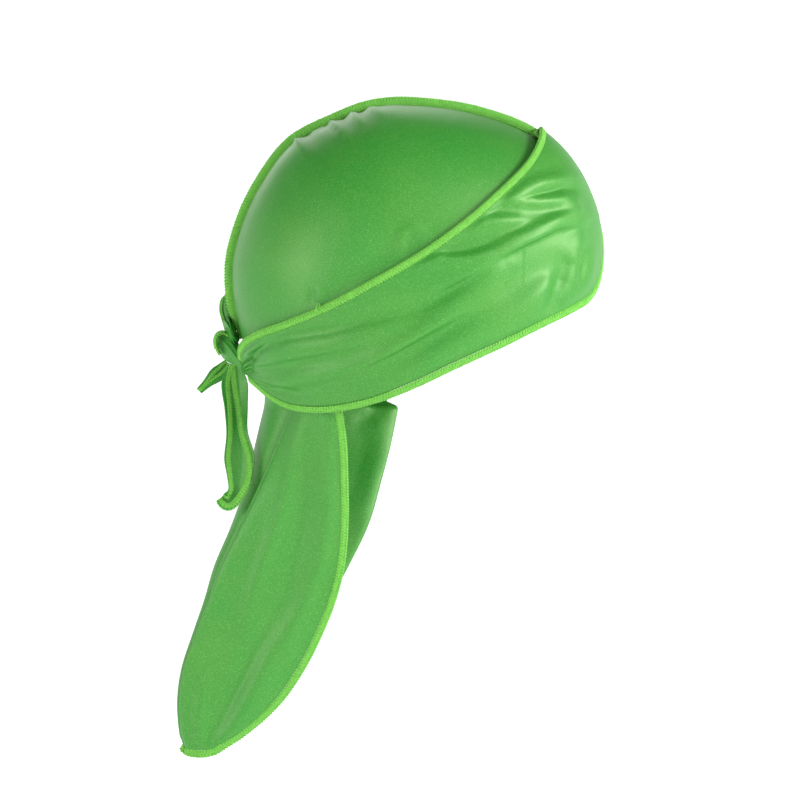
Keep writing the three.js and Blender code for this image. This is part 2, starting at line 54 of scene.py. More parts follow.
# %% A smooth curve through a table
def along(table, place, column=1):
    """A column of a table at a place: a cubic through its rows, level past both ends."""
    table = np.array(table, float)
    places, values = table[:, 0], table[:, column]
    gaps = np.diff(places)
    slopes = np.diff(values) / gaps
    middle = (slopes[:-1] * gaps[1:] + slopes[1:] * gaps[:-1]) / (gaps[:-1] + gaps[1:])
    tangents = np.concatenate([slopes[:1], middle, slopes[-1:]])
    row = np.clip(np.searchsorted(places, place) - 1, 0, len(gaps) - 1)
    t = np.clip((place - places[row]) / gaps[row], 0, 1)
    bend = gaps[row] * t * (1 - t) * ((1 - t) * tangents[row] - t * tangents[row + 1])
    return values[row] + (values[row + 1] - values[row]) * t * t * (3 - 2 * t) + bend


def smooth_step(value, start, end):
    t = np.clip((value - start) / (end - start), 0, 1)
    return t * t * (3 - 2 * t)


# %% The form of the head
HEAD_RISE, HEAD_DROP = 88, 130  # from its widest level up to the top, and down
HEAD_FRONT, HEAD_BACK = 102.5, 89
HEAD_HALF_BREADTH = 76
HEAD_SQUARENESS = 2.25
CENTRE = np.array([0.0, 0.0, -HEAD_RISE])

# Angle from the face over the top, and the share of a plain ellipse there. The shares were
# worked out from the outline in the side view, then rounded
head_profile = [
    (-60, 0.9), (-40, 0.93), (-15, 0.965), (0, 0.985), (20, 1.035), (42, 1.068),
    (64, 1.025), (80, 1.002), (90, 1.0), (100, 0.996), (114, 0.98), (130, 0.996),
    (146, 0.975), (163, 0.975), (180, 0.993), (200, 0.98), (222, 0.93), (250, 0.9),
]


def head_radius(direction):
    """Distance from the head's centre to its surface in a direction."""
    x, y, z = np.moveaxis(direction, -1, 0)
    level = np.maximum(np.hypot(x, z), 1e-9)
    angle = np.degrees(np.arctan2(z, x))
    angle = np.where(angle < -90, angle + 360, angle)
    reach = np.where(x >= 0, HEAD_FRONT, HEAD_BACK)
    height = np.where(z >= 0, HEAD_RISE, HEAD_DROP)
    ellipse = 1 / np.hypot(x / level / reach, z / level / height)
    side = ellipse * along(head_profile, angle)
    p = HEAD_SQUARENESS
    return ((level / side) ** p + (np.abs(y) / HEAD_HALF_BREADTH) ** p) ** (-1 / p)


def unit(vectors):
    return vectors / np.maximum(np.linalg.norm(vectors, axis=-1, keepdims=True), 1e-12)


def direction_of(azimuth, elevation, side):
    """Azimuth is 0 at the face and 90 at the given side, -1 for the wearer's right."""
    a, e = np.radians(azimuth), np.radians(elevation)
    parts = [np.cos(e) * np.cos(a), side * np.cos(e) * np.sin(a), np.sin(e)]
    return np.stack(np.broadcast_arrays(*parts), -1)


def on_head(direction, offset=0.0):
    reach = np.asarray(head_radius(direction) + offset)
    return direction * reach[..., None] + CENTRE


def between(start, end, share):
    """The direction a share of the way round from one direction to another."""
    angle = np.arccos(np.clip((start * end).sum(-1, keepdims=True), -1, 1))
    return unit(np.sin((1 - share) * angle) * start + np.sin(share * angle) * end)


print("top of the head form:", on_head(np.array([0.0, 0.0, 1.0])).round(2))

# %% [markdown]
# ## From grids of points to cloth
# Real satin is a sheet a fraction of a millimetre thick. A plane with a Solidify modifier would
# do, but the pieces also need points placed by formula. So each sheet is a grid of points in
# numpy, and one function gives it two faces and closed edges. Thread is a thin tube
# round a path. Both end up as closed meshes, which are clean in any other program too.

# %% Make a mesh object
MM = 0.001
RIGHT, LEFT = -1, 1


def make_piece(name, parts, material):
    """One object from parts, each its points and its faces."""
    points, faces, count = [], [], 0
    for part_points, part_faces in parts:
        points.append(np.asarray(part_points, float).reshape(-1, 3) * MM)
        faces += (np.asarray(part_faces) + count).tolist()
        count += len(points[-1])
    mesh = bpy.data.meshes.new(name)
    mesh.from_pydata(np.concatenate(points).tolist(), [], faces)
    mesh.validate()
    mesh.shade_smooth()
    mesh.set_sharp_from_angle(angle=np.radians(60))
    piece = bpy.data.objects.new(name, mesh)
    bpy.context.scene.collection.objects.link(piece)
    piece.data.materials.append(material)
    print(f"{name}: {len(mesh.vertices)} points, {len(mesh.polygons)} faces")
    return piece


# %% A sheet of cloth from a grid
def grid_normals(grid):
    return unit(np.cross(np.gradient(grid, axis=0), np.gradient(grid, axis=1)))


def cloth(grid, thickness):
    """Points and faces of a closed sheet whose middle is the grid."""
    normals = grid_normals(grid)
    points = np.stack([grid + normals * thickness / 2, grid - normals * thickness / 2])
    rows, columns = grid.shape[:2]
    index = np.arange(2 * rows * columns).reshape(2, rows, columns)

    def quads(a, b, c, d):
        return np.stack([a, b, c, d], -1).reshape(-1, 4)

    top, back = index
    faces = [
        quads(top[:-1, :-1], top[1:, :-1], top[1:, 1:], top[:-1, 1:]),
        quads(back[:-1, :-1], back[:-1, 1:], back[1:, 1:], back[1:, :-1]),
        quads(top[0, :-1], top[0, 1:], back[0, 1:], back[0, :-1]),
        quads(top[-1, 1:], top[-1, :-1], back[-1, :-1], back[-1, 1:]),
        quads(top[1:, 0], top[:-1, 0], back[:-1, 0], back[1:, 0]),
        quads(top[:-1, -1], top[1:, -1], back[1:, -1], back[:-1, -1]),
    ]
    return points, np.concatenate(faces)


# %% A tube and a skin of rings
def skin(rings):
    """Points and faces of closed rings joined one to the next, with flat ends."""
    count, sides = rings.shape[:2]
    index = np.arange(count * sides).reshape(count, sides)
    turned = np.roll(index, -1, axis=1)
    around = [index[:-1], turned[:-1], turned[1:], index[1:]]
    faces = np.stack(around, -1).reshape(-1, 4)
    caps = []
    for ring, order in ((index[0], -1), (index[-1], 1)):
        for k in range(1, sides - 2, 2):
            caps.append(ring[[0, k, k + 1, k + 2]][::order])
    points = rings.reshape(-1, 3)
    a, b, c, d = (points[faces[:, k]] - points.mean(0) for k in range(4))
    volume = (a * np.cross(b, c)).sum() + (a * np.cross(c, d)).sum()
    faces = np.concatenate([faces, np.array(caps)])
    return points, faces if volume > 0 else faces[:, ::-1]


def tube(path, radius, outward, sides=6):
    """A tube round a path. outward keeps its rings from twisting."""
    tangent = unit(np.gradient(path, axis=0))
    first = unit(outward - (outward * tangent).sum(-1, keepdims=True) * tangent)
    second = np.cross(tangent, first)
    turn = np.linspace(0, 2 * np.pi, sides, endpoint=False)[None, :, None]
    radius = np.broadcast_to(np.asarray(radius, float), len(path))[:, None, None]
    ring = np.cos(turn) * first[:, None] + np.sin(turn) * second[:, None]
    return skin(path[:, None] + radius * ring)


# %% [markdown]
# ## Maths on a surface
# A finish is a few numbers that change over a surface. They could be wired up by hand in the
# shader editor, but an expression is easier to read. So a small class wraps a socket and turns
# Python's operators into Math nodes, and one method makes any other node from its
# settings and inputs.

# %% Shader maths as expressions
class Amount:
    """A number that changes over a surface, on which Python's operators work."""

    def __init__(self, finish, socket):
        self.finish, self.socket = finish, socket

    def _with(self, operation, *values):
        sockets = dict(enumerate(values))
        made = self.finish.node("ShaderNodeMath", {"operation": operation}, sockets)
        return Amount(self.finish, made.outputs["Value"])

    def __add__(self, other):
        return self._with("ADD", self, other)

    def __sub__(self, other):
        return self._with("SUBTRACT", self, other)

    def __rsub__(self, other):
        return self._with("SUBTRACT", other, self)

    def __mul__(self, other):
        return self._with("MULTIPLY", self, other)

    __radd__ = __add__
    __rmul__ = __mul__


class Finish:
    """A material with one shader, and a method that adds any other node to it."""

    def __init__(self, name, **constants):
        self.material = bpy.data.materials.new(name)
        self.material.use_nodes = True
        self.tree = self.material.node_tree
        self.tree.nodes.clear()
        self.shader = self.node("ShaderNodeBsdfPrincipled", {}, constants)
        shown = {"Surface": self.shader.outputs["BSDF"]}
        self.node("ShaderNodeOutputMaterial", {}, shown)

    def node(self, kind, settings=None, sockets=None):
        made = self.tree.nodes.new(kind)
        for name, value in (settings or {}).items():
            setattr(made, name, value)
        for name, value in (sockets or {}).items():
            self.feed(made, name, value)
        return made

    def feed(self, node, name, value):
        value = value.socket if isinstance(value, Amount) else value
        key = name if isinstance(name, int) else name.replace("_", " ")
        if isinstance(value, bpy.types.NodeSocket):
            self.tree.links.new(value, node.inputs[key])
        else:
            node.inputs[key].default_value = value

    def amount(self, node, output):
        return Amount(self, node.outputs[output])

    def noise(self, place, scale, detail=2.0, roughness=0.5):
        sockets = {"Vector": place, "Scale": scale, "Detail": detail, "Roughness": roughness}
        return self.amount(self.node("ShaderNodeTexNoise", {}, sockets), "Fac")

    def mix(self, share, first, second):
        """A colour a share of the way from one to the other."""
        made = self.node("ShaderNodeMix", {"data_type": "RGBA"}, {0: share})
        for name, value in ((6, first), (7, second)):
            is_socket = isinstance(value, bpy.types.NodeSocket)
            self.feed(made, name, value if is_socket else (*value, 1))
        return made.outputs[2]


def linear(red, green, blue):
    """A colour on a 0 to 255 scale, as the light that a shader works with."""
    shares = np.array([red, green, blue]) / 255
    low, high = shares / 12.92, ((shares + 0.055) / 1.055) ** 2.4
    return tuple(float(c) for c in np.where(shares <= 0.04045, low, high))


# %% [markdown]
# ## Satin
# Satin floats its warp threads over the weft, so it shines softly along a broad lobe and its
# highlights go pale. A plain glossy plastic would look wet. Its two greens and its painted glint
# colour were changed until the satin came near the photograph. Here roughness is about 0.45, and
# the shine is tinted green, because light passes through the outer fibres before it comes back. A
# fine speckle paints pale glints into the colour, for the glitter of the single floats; it also
# varies the roughness, and with a fine twill it bumps the surface.

# %% The satin finish
satin_finish = Finish(
    "durag_satin",
    Metallic=0.05,
    Specular_IOR_Level=0.62,
    Specular_Tint=(0.9, 1.0, 0.68, 1),
)
place = satin_finish.node("ShaderNodeTexCoord").outputs["Object"]
speckle = satin_finish.noise(place, 1500, detail=1.0)
cloudy = satin_finish.noise(place, 28, detail=3.0)
streaky = satin_finish.noise(place, 90, detail=2.0)
twill = satin_finish.node(
    "ShaderNodeTexWave",
    {"wave_type": "BANDS", "bands_direction": "DIAGONAL"},
    {"Vector": place, "Scale": 1050.0, "Distortion": 0.6, "Detail": 1.0},
)
twill = satin_finish.amount(twill, "Fac")

# deep and mossy are the satin's own greens; the pale third one is a painted glint, which the fine
# speckle mixes into the base colour below.
deep, mossy, painted_glint_green = linear(14, 122, 32), linear(56, 126, 34), linear(120, 180, 98)
ground = satin_finish.mix(cloudy, deep, mossy)
satin_with_painted_glints = satin_finish.mix((speckle - 0.5) * 0.9 + 0.03, ground, painted_glint_green)
satin_finish.feed(satin_finish.shader, "Base_Color", satin_with_painted_glints)
satin_finish.feed(satin_finish.shader, "Roughness", 0.37 + speckle * 0.14 + streaky * 0.06)
bumped = satin_finish.node(
    "ShaderNodeBump",
    {},
    {"Strength": 0.12, "Distance": 0.0002, "Height": speckle * 0.7 + twill * 0.3},
)
satin_finish.feed(satin_finish.shader, "Normal", bumped.outputs["Normal"])
satin = satin_finish.material
print("satin nodes:", len(satin_finish.tree.nodes))

# %% [markdown]
# ## Overlock thread
# The edges are wound with textured polyester thread, more yellow than the satin and quite matt.
# The winding itself is geometry further on, so this finish only needs the fibres: a fine noise
# for the fuzz, and a slow one that makes some turns lighter than others.

# %% The thread finish
thread_finish = Finish(
    "durag_overlock_thread",
    Specular_IOR_Level=0.35,
    Sheen_Weight=0.12,
    Sheen_Roughness=0.6,
    Sheen_Tint=(*linear(200, 240, 160), 1),
)
place = thread_finish.node("ShaderNodeTexCoord").outputs["Object"]
fibre = thread_finish.noise(place, 3200, detail=2.0)
turns = thread_finish.noise(place, 420, detail=2.0)
lime = thread_finish.mix(turns, linear(54, 146, 22), linear(104, 178, 62))
lime = thread_finish.mix(fibre * 0.35, lime, linear(150, 208, 106))
thread_finish.feed(thread_finish.shader, "Base_Color", lime)
thread_finish.feed(thread_finish.shader, "Roughness", 0.58 + fibre * 0.2)
bumped = thread_finish.node(
    "ShaderNodeBump", {}, {"Strength": 0.4, "Distance": 0.0002, "Height": fibre}
)
thread_finish.feed(thread_finish.shader, "Normal", bumped.outputs["Normal"])
thread = thread_finish.material
print("thread nodes:", len(thread_finish.tree.nodes))

# %% [markdown]
# ## The overlocked edge
# An overlock machine winds two threads round the raw edge and locks them with a chain where the
# needle goes through. A bump map would look printed on from close by, so the threads are real
# tubes here: two that wind round a flat core and lean opposite ways, and the chain
# along the needle line.

# %% Wind thread round an edge
STITCH_PITCH = 1.65
STITCH_LEAN = 0.55
THREAD_RADIUS = 0.42
HEM_WIDTH, HEM_THICKNESS = 4.8, 1.8
SEWN_GAP = 0.3
STEPS_PER_TURN = 9


def at_lengths(values, lengths, places):
    """Rows of values, known at some lengths along a path, at other places on it."""
    flat = np.asarray(values, float).reshape(len(lengths), -1)
    columns = [np.interp(places, lengths, column) for column in flat.T]
    return np.stack(columns, -1).reshape(len(places), *np.shape(values)[1:])


def overlock(middle, across, normal, width=HEM_WIDTH, thickness=HEM_THICKNESS, seed=1):
    """The core, windings and chain of one wound edge, as parts for make_piece."""
    luck = np.random.default_rng(seed)
    lengths = np.concatenate([[0], np.cumsum(np.linalg.norm(np.diff(middle, axis=0), axis=1))])
    width = np.broadcast_to(np.asarray(width, float), len(middle))
    edge = np.concatenate([middle, across, normal, width[:, None]], axis=1)

    def frame_at(places):
        row = at_lengths(edge, lengths, np.clip(places, 0, lengths[-1]))
        return row[:, :3], unit(row[:, 3:6]), unit(row[:, 6:9]), row[:, 9:]

    cores = max(int(lengths[-1] / 1.5), 4)
    m, a, n, w = frame_at(np.linspace(0, lengths[-1], cores))
    turn = np.linspace(0, 2 * np.pi, 12, endpoint=False)[None, :, None]
    core = m[:, None] + np.cos(turn) * a[:, None] * (w[:, None] * 0.5 - THREAD_RADIUS)
    core = core + np.sin(turn) * n[:, None] * (thickness * 0.5 - THREAD_RADIUS)
    parts = [skin(core)]

    turns = max(int(lengths[-1] / STITCH_PITCH), 1)
    for phase, lean in ((0.0, STITCH_LEAN), (0.5, -STITCH_LEAN)):
        count = np.linspace(0, turns, turns * STEPS_PER_TURN + 1)
        angle = 2 * np.pi * count
        loose = np.interp(count, np.arange(turns + 1), luck.normal(0, 1, turns + 1))
        places = (count + phase) / (turns + 0.5) * lengths[-1] + lean * np.cos(angle)
        m, a, n, w = frame_at(places + 0.08 * loose)
        reach = np.sign(np.cos(angle)) * np.abs(np.cos(angle)) ** 0.8
        rise = np.sign(np.sin(angle)) * np.abs(np.sin(angle)) ** 0.8
        wide = (w[:, 0] * 0.5 - THREAD_RADIUS) * (1 + 0.03 * loose)
        deep_by = thickness * 0.5 - THREAD_RADIUS * (0.75 - 0.25 * phase)
        path = m + a * (reach * wide)[:, None] + n * (rise * deep_by)[:, None]
        outward = a * np.cos(angle)[:, None] + n * np.sin(angle)[:, None]
        parts.append(tube(path, THREAD_RADIUS, outward))

    links = np.linspace(0, lengths[-1], max(int(lengths[-1] / 0.5), 8))
    m, a, n, w = frame_at(links)
    sway = 0.3 * w + 0.35 * np.sin(2 * np.pi * links / STITCH_PITCH)[:, None]
    for face in (1, -1):
        path = m + a * -sway * 0.9 + n * face * thickness * 0.47
        parts.append(tube(path, THREAD_RADIUS * 0.6, n * face))
    return parts


# %% [markdown]
# ## Creases
# Stretched satin creases in long soft ridges with sharper edges where it folds over. A cloth
# simulation would give folds, but not these ones. So each crease is a line on the
# side view of the head, with a height at each of its points, and cloth is moved out
# or in by how near it is to the line. Its two flanks have their own widths, so a crease can be
# steep on one side. The points are places in the side view, counted in steps of
# 0.535 mm from the same corner as the photograph's, which puts the top of the crown at 400, 107.

# %% Move cloth by its nearness to a line
STEP = 0.535


def side_view(column, row):
    return (np.asarray(column) - 400) * STEP, (107 - np.asarray(row)) * STEP


def crease(points, line, above, below):
    """How far a crease moves each point out. The line's rows are column, row and height."""
    line = np.array(line, float)
    line_x, line_z = side_view(line[:, 0], line[:, 1])
    x, z = points[..., 0], points[..., 2]
    nearest = np.full(x.shape, 1e9)
    moved = np.zeros(x.shape)
    for k in range(len(line) - 1):
        run = np.array([line_x[k + 1] - line_x[k], line_z[k + 1] - line_z[k]])
        length = np.hypot(*run)
        run = run / length
        offset_x, offset_z = x - line_x[k], z - line_z[k]
        share = np.clip((offset_x * run[0] + offset_z * run[1]) / length, 0, 1)
        gap_x, gap_z = offset_x - share * length * run[0], offset_z - share * length * run[1]
        away = np.hypot(gap_x, gap_z)
        up = run if run[0] > 0 else -run
        is_above = -gap_x * up[1] + gap_z * up[0] > 0
        width = np.where(is_above, above, below)
        height = line[k, 2] + (line[k + 1, 2] - line[k, 2]) * share
        value = height * np.exp(-((away / width) ** 2))
        closer = away < nearest
        moved = np.where(closer, value, moved)
        nearest = np.minimum(nearest, away)
    return moved


def creased(points, lines, widen=1.0):
    """All of a piece's creases together, each with its flanks widened."""
    return sum(crease(points, line, above * widen, below * widen) for line, above, below in lines)


def held_in(folds, lowest, highest):
    """Creases eased so that they never pass the lowest or highest place."""
    limit = np.where(folds < 0, lowest, highest)
    return limit * np.tanh(folds / limit)



# %% [markdown]
# ## The crown
# Each half of the crown is one panel from the centre seam down to a rim that the straps hide. The
# seam is a little shorter than the cloth, so small puckers run down from it at the back. Above the
# strap the cloth is pulled in, which leaves shallow hollows.

# %% Lay a crown panel on the head
CROWN_WALL = 1.2
CROWN_TUCK = 6
SEAM_ANGLES = (15, 211)
RIM_AZIMUTHS = (5, 175)
SATIN_THICKNESS = 0.6
CROWN_RELIEF = 2.0
CROWN_LIMITS = (-1.2, 2.4)  # how far in and out its puckers go

# Azimuth from the face, then the middles of a strap's lower and upper hem in degrees. Those
# past 0 were worked out from places on the hems in the side view, and the others are guesses
strap_edges = [
    (-27, 36.5, 42.0), (-18, 28.0, 43.4), (-9, 18.0, 44.4), (0, 7.5, 44.8),
    (8, -2.0, 44.2), (16, -7.5, 42.6), (26, -11.5, 38.8), (37, -16.5, 33.2),
    (51, -24.4, 25.6), (66, -32.4, 15.8), (82, -39.7, 5.2), (99, -44.8, -4.6),
    (117, -47.2, -13.4), (134, -47.0, -18.6), (148, -45.0, -21.2),
    (160, -40.8, -23.8), (167, -37.2, -26.2), (172, -35.2, -29.0),
]
LOWER, UPPER = 1, 2

crown_creases = [
    ([(294, 136, 0.9), (300, 146, 0.9), (308, 158, 0.5), (316, 170, 0.0)], 1.6, 1.6),
    ([(304, 131, -0.7), (312, 142, -0.6), (322, 156, 0.0)], 2.2, 2.2),
    ([(326, 124, -0.4), (334, 134, -0.3)], 1.5, 1.5),
    ([(330, 122, 0.8), (338, 132, 0.8), (348, 145, 0.3)], 1.6, 1.6),
    ([(342, 117, -0.8), (349, 127, -0.6), (356, 136, 0.0)], 1.8, 1.8),
    ([(352, 114, 0.7), (358, 124, 0.5), (362, 131, 0.0)], 1.5, 1.5),
    ([(361, 112, -0.8), (367, 121, -0.6), (372, 132, 0.0)], 1.8, 1.8),
    ([(372, 110, 0.6), (378, 116, 0.4), (384, 122, 0.0)], 1.6, 1.6),
    ([(404, 110, -0.3), (470, 118, -0.4), (520, 132, -0.5), (530, 140, -0.3)], 3.0, 5.0),
    ([(411, 238, -0.3), (411, 247, -1.1), (408, 255, -1.1)], 2.6, 2.6),
    ([(420, 236, 0.5), (414, 230, 0.5), (403, 236, 0.6), (400, 248, 0.6)], 2.2, 2.2),
    ([(392, 246, -0.3), (387, 255, -1.2), (370, 268, -1.1), (350, 284, -0.8),
      (336, 297, -0.4)], 5.5, 4.0),
    ([(314, 294, -0.7), (314, 303, -0.9)], 1.6, 1.6),
    ([(322, 292, 0.5), (320, 302, 0.6)], 1.6, 1.6),
]


def crown_grid(side, steps=170, rows=88):
    share = np.linspace(0, 1, steps)[:, None]
    angle = np.radians(SEAM_ANGLES[0] + share * (SEAM_ANGLES[1] - SEAM_ANGLES[0]))
    azimuth = RIM_AZIMUTHS[0] + share * (RIM_AZIMUTHS[1] - RIM_AZIMUTHS[0])
    seam = np.stack([np.cos(angle), 0 * angle, np.sin(angle)], -1)
    rim = direction_of(azimuth, along(strap_edges, azimuth, LOWER) + CROWN_TUCK, side)
    down = np.linspace(0, 1, rows)[None, :, None]
    direction = between(seam, rim, down)
    base = on_head(direction, CROWN_WALL - SATIN_THICKNESS / 2)
    folds = held_in(CROWN_RELIEF * creased(base, crown_creases), *CROWN_LIMITS)
    grid = on_head(direction, CROWN_WALL - SATIN_THICKNESS / 2 + folds)
    grid[:, 0, 1] = side * (SEWN_GAP + SATIN_THICKNESS) / 2
    return grid[:, ::-1] if side == RIGHT else grid


crown_panels = {}
for name, side in (("right", RIGHT), ("left", LEFT)):
    parts = [cloth(crown_grid(side), SATIN_THICKNESS)]
    crown_panels[side] = make_piece(f"crown_satin_{name}", parts, satin)

# %% [markdown]
# ## The centre seam
# The two panels are sewn with their raw edges outwards, so the overlocked seam stands up as a
# fin over the middle of the head. It is the same wound edge as the hems, set on its side: across
# it is outwards from the head, and its faces look left and right.

# %% Stand the seam on the crown
SEAM_HEIGHT, SEAM_THICKNESS = 4.4, 2.0
FIN_ANGLES = (45.5, 203)
FIN_TAPER = (189, 204)
FIN_LOW = 0.3
FIN_SUNK = 1.7  # how far its foot goes down between the panels

fin = np.linspace(*FIN_ANGLES, 260)
fin_out = np.stack([np.cos(np.radians(fin)), 0 * fin, np.sin(np.radians(fin))], -1)
fin_height = SEAM_HEIGHT * (1 - (1 - FIN_LOW) * smooth_step(fin, *FIN_TAPER))
fin_foot = on_head(fin_out, CROWN_WALL + SEWN_GAP - FIN_SUNK)
fin_height = fin_height + FIN_SUNK
fin_middle = fin_foot + fin_out * fin_height[:, None] / 2
fin_side = np.broadcast_to([0.0, -1.0, 0.0], fin_out.shape)
crown_seam = make_piece(
    "crown_seam_overlock",
    overlock(fin_middle, fin_out, fin_side, fin_height, SEAM_THICKNESS, seed=3),
    thread,
)

# %% [markdown]
# ## The straps
# Each strap starts beyond the middle of the forehead, widens over the temple and gathers into
# the knot behind. Its two hems run where the solid's do. The cloth between them is tight along its
# length, so nearly all its creases are long, and they draw together towards the knot.

# %% The straps' hems
LAYER_GAP = 0.5
HEM_OVERLAP = 0.3  # how far the cloth goes into its wound edge
# Azimuth of each strap's end, beyond the forehead's middle. The left one is under the right one
STRAP_STARTS = {RIGHT: -27, LEFT: -14}

# Azimuth, then how many hem thicknesses the right and left strap lie above the crown
strap_lift = [
    (-27, 2.2, 0.5), (0, 2.2, 0.5), (24, 2.1, 0.6), (44, 1.5, 1.2),
    (80, 0.6, 0.6), (140, 0.7, 0.7), (160, 1.4, 1.4), (172, 2.2, 2.2),
]
SIDE_NAMES = {RIGHT: "right", LEFT: "left"}


def strap_offset(azimuth, side):
    lift = along(strap_lift, azimuth, 1 if side == RIGHT else 2)
    return CROWN_WALL + LAYER_GAP + (lift + 0.5) * HEM_THICKNESS


def strap_hem(side, column, steps=420):
    """Middle line of a hem, the direction across it towards the cloth, and its normal."""
    azimuth = np.linspace(STRAP_STARTS[side], strap_edges[-1][0], steps)
    outward = direction_of(azimuth, along(strap_edges, azimuth, column), side)
    middle = on_head(outward, strap_offset(azimuth, side))
    tangent = unit(np.gradient(middle, axis=0))
    inwards = side if column == LOWER else -side
    across = unit(np.cross(outward, tangent) * inwards)
    normal = unit(np.cross(tangent, across))
    normal *= np.sign((normal * outward).sum(-1, keepdims=True))
    return middle, across, normal


strap_hems = {}
for side, name in SIDE_NAMES.items():
    for column, edge_name in ((UPPER, "upper"), (LOWER, "lower")):
        middle, across, normal = strap_hem(side, column)
        parts = overlock(middle, across, normal, seed=5 + column + side)
        piece_name = f"strap_{name}_{edge_name}_overlock"
        strap_hems[side, column] = make_piece(piece_name, parts, thread)

# %% The straps' creases, from the forehead back to the knot
strap_creases = [
    ([(586, 221, 0.3), (572, 225, 1.0), (554, 229, 1.6), (533, 240, 1.9), (512, 249.5, 1.8),
      (490, 259, 1.5), (462, 278, 1.1), (442, 291, 0.9), (420, 303, 0.7), (400, 313, 0.4),
      (380, 321, 0.0)], 4.2, 1.3),
    ([(576, 230, -0.4), (554, 235, -0.8), (533, 246, -0.9), (512, 256, -0.6),
      (494, 264, 0.0)], 1.6, 4.5),
    ([(572, 181, 0.3), (556, 183, 1.0), (538, 187, 1.3), (521, 194, 1.3), (510, 203, 1.2),
      (522, 207, 1.1), (545, 204, 1.2), (560, 201, 1.3), (570, 207, 1.1), (577, 214, 0.3)],
     3.0, 3.0),
    ([(568, 189, -0.3), (552, 194, -0.8), (536, 197, -0.6)], 2.5, 2.5),
    ([(548, 212, -0.8), (530, 212, -1.2), (510, 212, -1.1), (490, 214, -0.9),
      (478, 219, -0.4)], 3.0, 3.5),
    ([(466, 230, 0.3), (480, 226, 0.9), (500, 222, 0.9), (516, 221, 0.5)], 3.0, 3.0),
    ([(540, 227, -0.6), (522, 231, -0.9), (502, 236, -0.7), (488, 240, -0.4)], 2.6, 2.4),
    ([(574, 214, 0.5), (556, 221, 0.8), (540, 228, 0.9), (526, 233, 0.6), (508, 241, 0.2)],
     1.8, 1.4),
    ([(500, 243, -0.3), (485, 246, -1.1), (466, 250, -1.6), (450, 252, -1.5),
      (439, 252, -0.6)], 3.2, 2.6),
    ([(420, 262, 0.6), (435, 262, 1.3), (450, 263, 1.4), (466, 262, 1.2), (482, 260, 0.8),
      (494, 257, 0.2)], 2.6, 4.0),
    ([(505, 268, 0.5), (490, 277, 1.0), (474, 291, 1.0), (460, 304, 0.9), (444, 318, 0.5)],
     6.0, 6.0),
    ([(554, 277, 0.5), (546, 288, 1.2), (534, 300, 1.4), (520, 311, 1.3), (500, 321, 1.2),
      (478, 331, 1.1), (460, 341, 1.1), (442, 351, 1.0), (428, 363, 0.8), (416, 374, 0.3)],
     5.0, 6.0),
    ([(567, 258, -0.4), (550, 264, -1.2), (532, 270, -1.4), (518, 280, -1.1),
      (506, 293, -0.8), (493, 306, -0.4)], 6.0, 6.0),
    ([(577, 226, 0.5), (575, 244, 1.3), (572, 262, 1.5), (568, 280, 1.3), (565, 297, 0.7)],
     3.2, 3.2),
    ([(581, 252, -0.4), (579, 268, -0.7), (575, 282, -0.4)], 1.2, 1.2),
    ([(590, 250, 0.4), (588, 265, 0.9), (584, 280, 0.9), (577, 293, 0.5)], 2.4, 2.4),
    ([(564, 268, -0.8), (558, 281, -1.4), (551, 295, -1.4), (544, 308, -1.0),
      (539, 317, -0.4)], 2.8, 2.8),
    ([(474, 281, -0.4), (456, 289, -1.2), (438, 297, -1.4), (420, 305, -1.4),
      (404, 311, -1.3), (380, 317, -0.9), (352, 320, -0.4)], 3.4, 3.0),
    ([(456, 309, 0.4), (440, 319, 1.1), (424, 330, 1.5), (408, 340, 1.7), (392, 349, 1.5),
      (376, 358, 1.1), (360, 366, 0.6), (345, 372, 0.2)], 3.0, 2.2),
    ([(476, 314, -0.4), (458, 325, -1.1), (440, 336, -1.4), (420, 347, -1.4),
      (402, 356, -1.2), (385, 364, -0.8), (364, 372, -0.3)], 2.4, 3.4),
    ([(256, 353, -0.5), (268, 343, -1.0), (289, 337, -1.0), (310, 334, -0.9),
      (332, 331, -0.8), (356, 324, -0.5), (374, 317, -0.1)], 1.4, 2.2),
    ([(258, 362, 0.4), (285, 354, 0.9), (310, 350, 1.0), (335, 346, 1.0), (360, 340, 0.9),
      (386, 331, 0.6), (406, 322, 0.2)], 3.6, 3.4),
    ([(262, 371, -0.3), (290, 366, -0.8), (320, 361, -0.9), (350, 355, -0.7),
      (372, 347, -0.2)], 2.6, 2.6),
    ([(260, 380, 0.5), (285, 381, 1.0), (310, 378, 1.1), (335, 374, 0.8), (358, 367, 0.2)],
     2.8, 2.8),
    ([(264, 386, -0.6), (278, 390, -1.3), (291, 394, -1.2), (306, 397, -0.5)], 1.6, 1.8),
    ([(300, 389, -0.3), (330, 387, -0.7), (362, 380, -0.6), (392, 371, -0.2)], 3.6, 3.6),
    ([(244, 372, 0.5), (244, 362, 1.1), (249, 352, 1.1), (262, 344, 0.8), (280, 339, 0.2)],
     1.4, 1.4),
    ([(251, 371, -1.2), (250, 364, -1.8), (254, 357, -1.2), (262, 352, -0.5)], 1.4, 1.8),
]
print("creases on a strap:", len(strap_creases))

# %% Stretch the cloth between a strap's hems
GATHERS = 6.5  # folds across the strap where it goes into the knot
GATHER_HEIGHT = 0.4
EDGE_EASE = 2.6  # how far from a hem a crease reaches its whole height
STRAP_RELIEF = 2.0
STRAP_WIDEN = 1.45  # how much wider the flanks are than the widths in the lines above
# How far out creases may go while they stay clear of the next layer, and how far in they stop
OVER_LIMIT, UNDER_LIMIT = 3.2, 1.5
ABOVE_CROWN = 0.8
FRONT_DEPTH, SIDE_DEPTH, FRONT_ENDS = 2.0, 9.0, 45


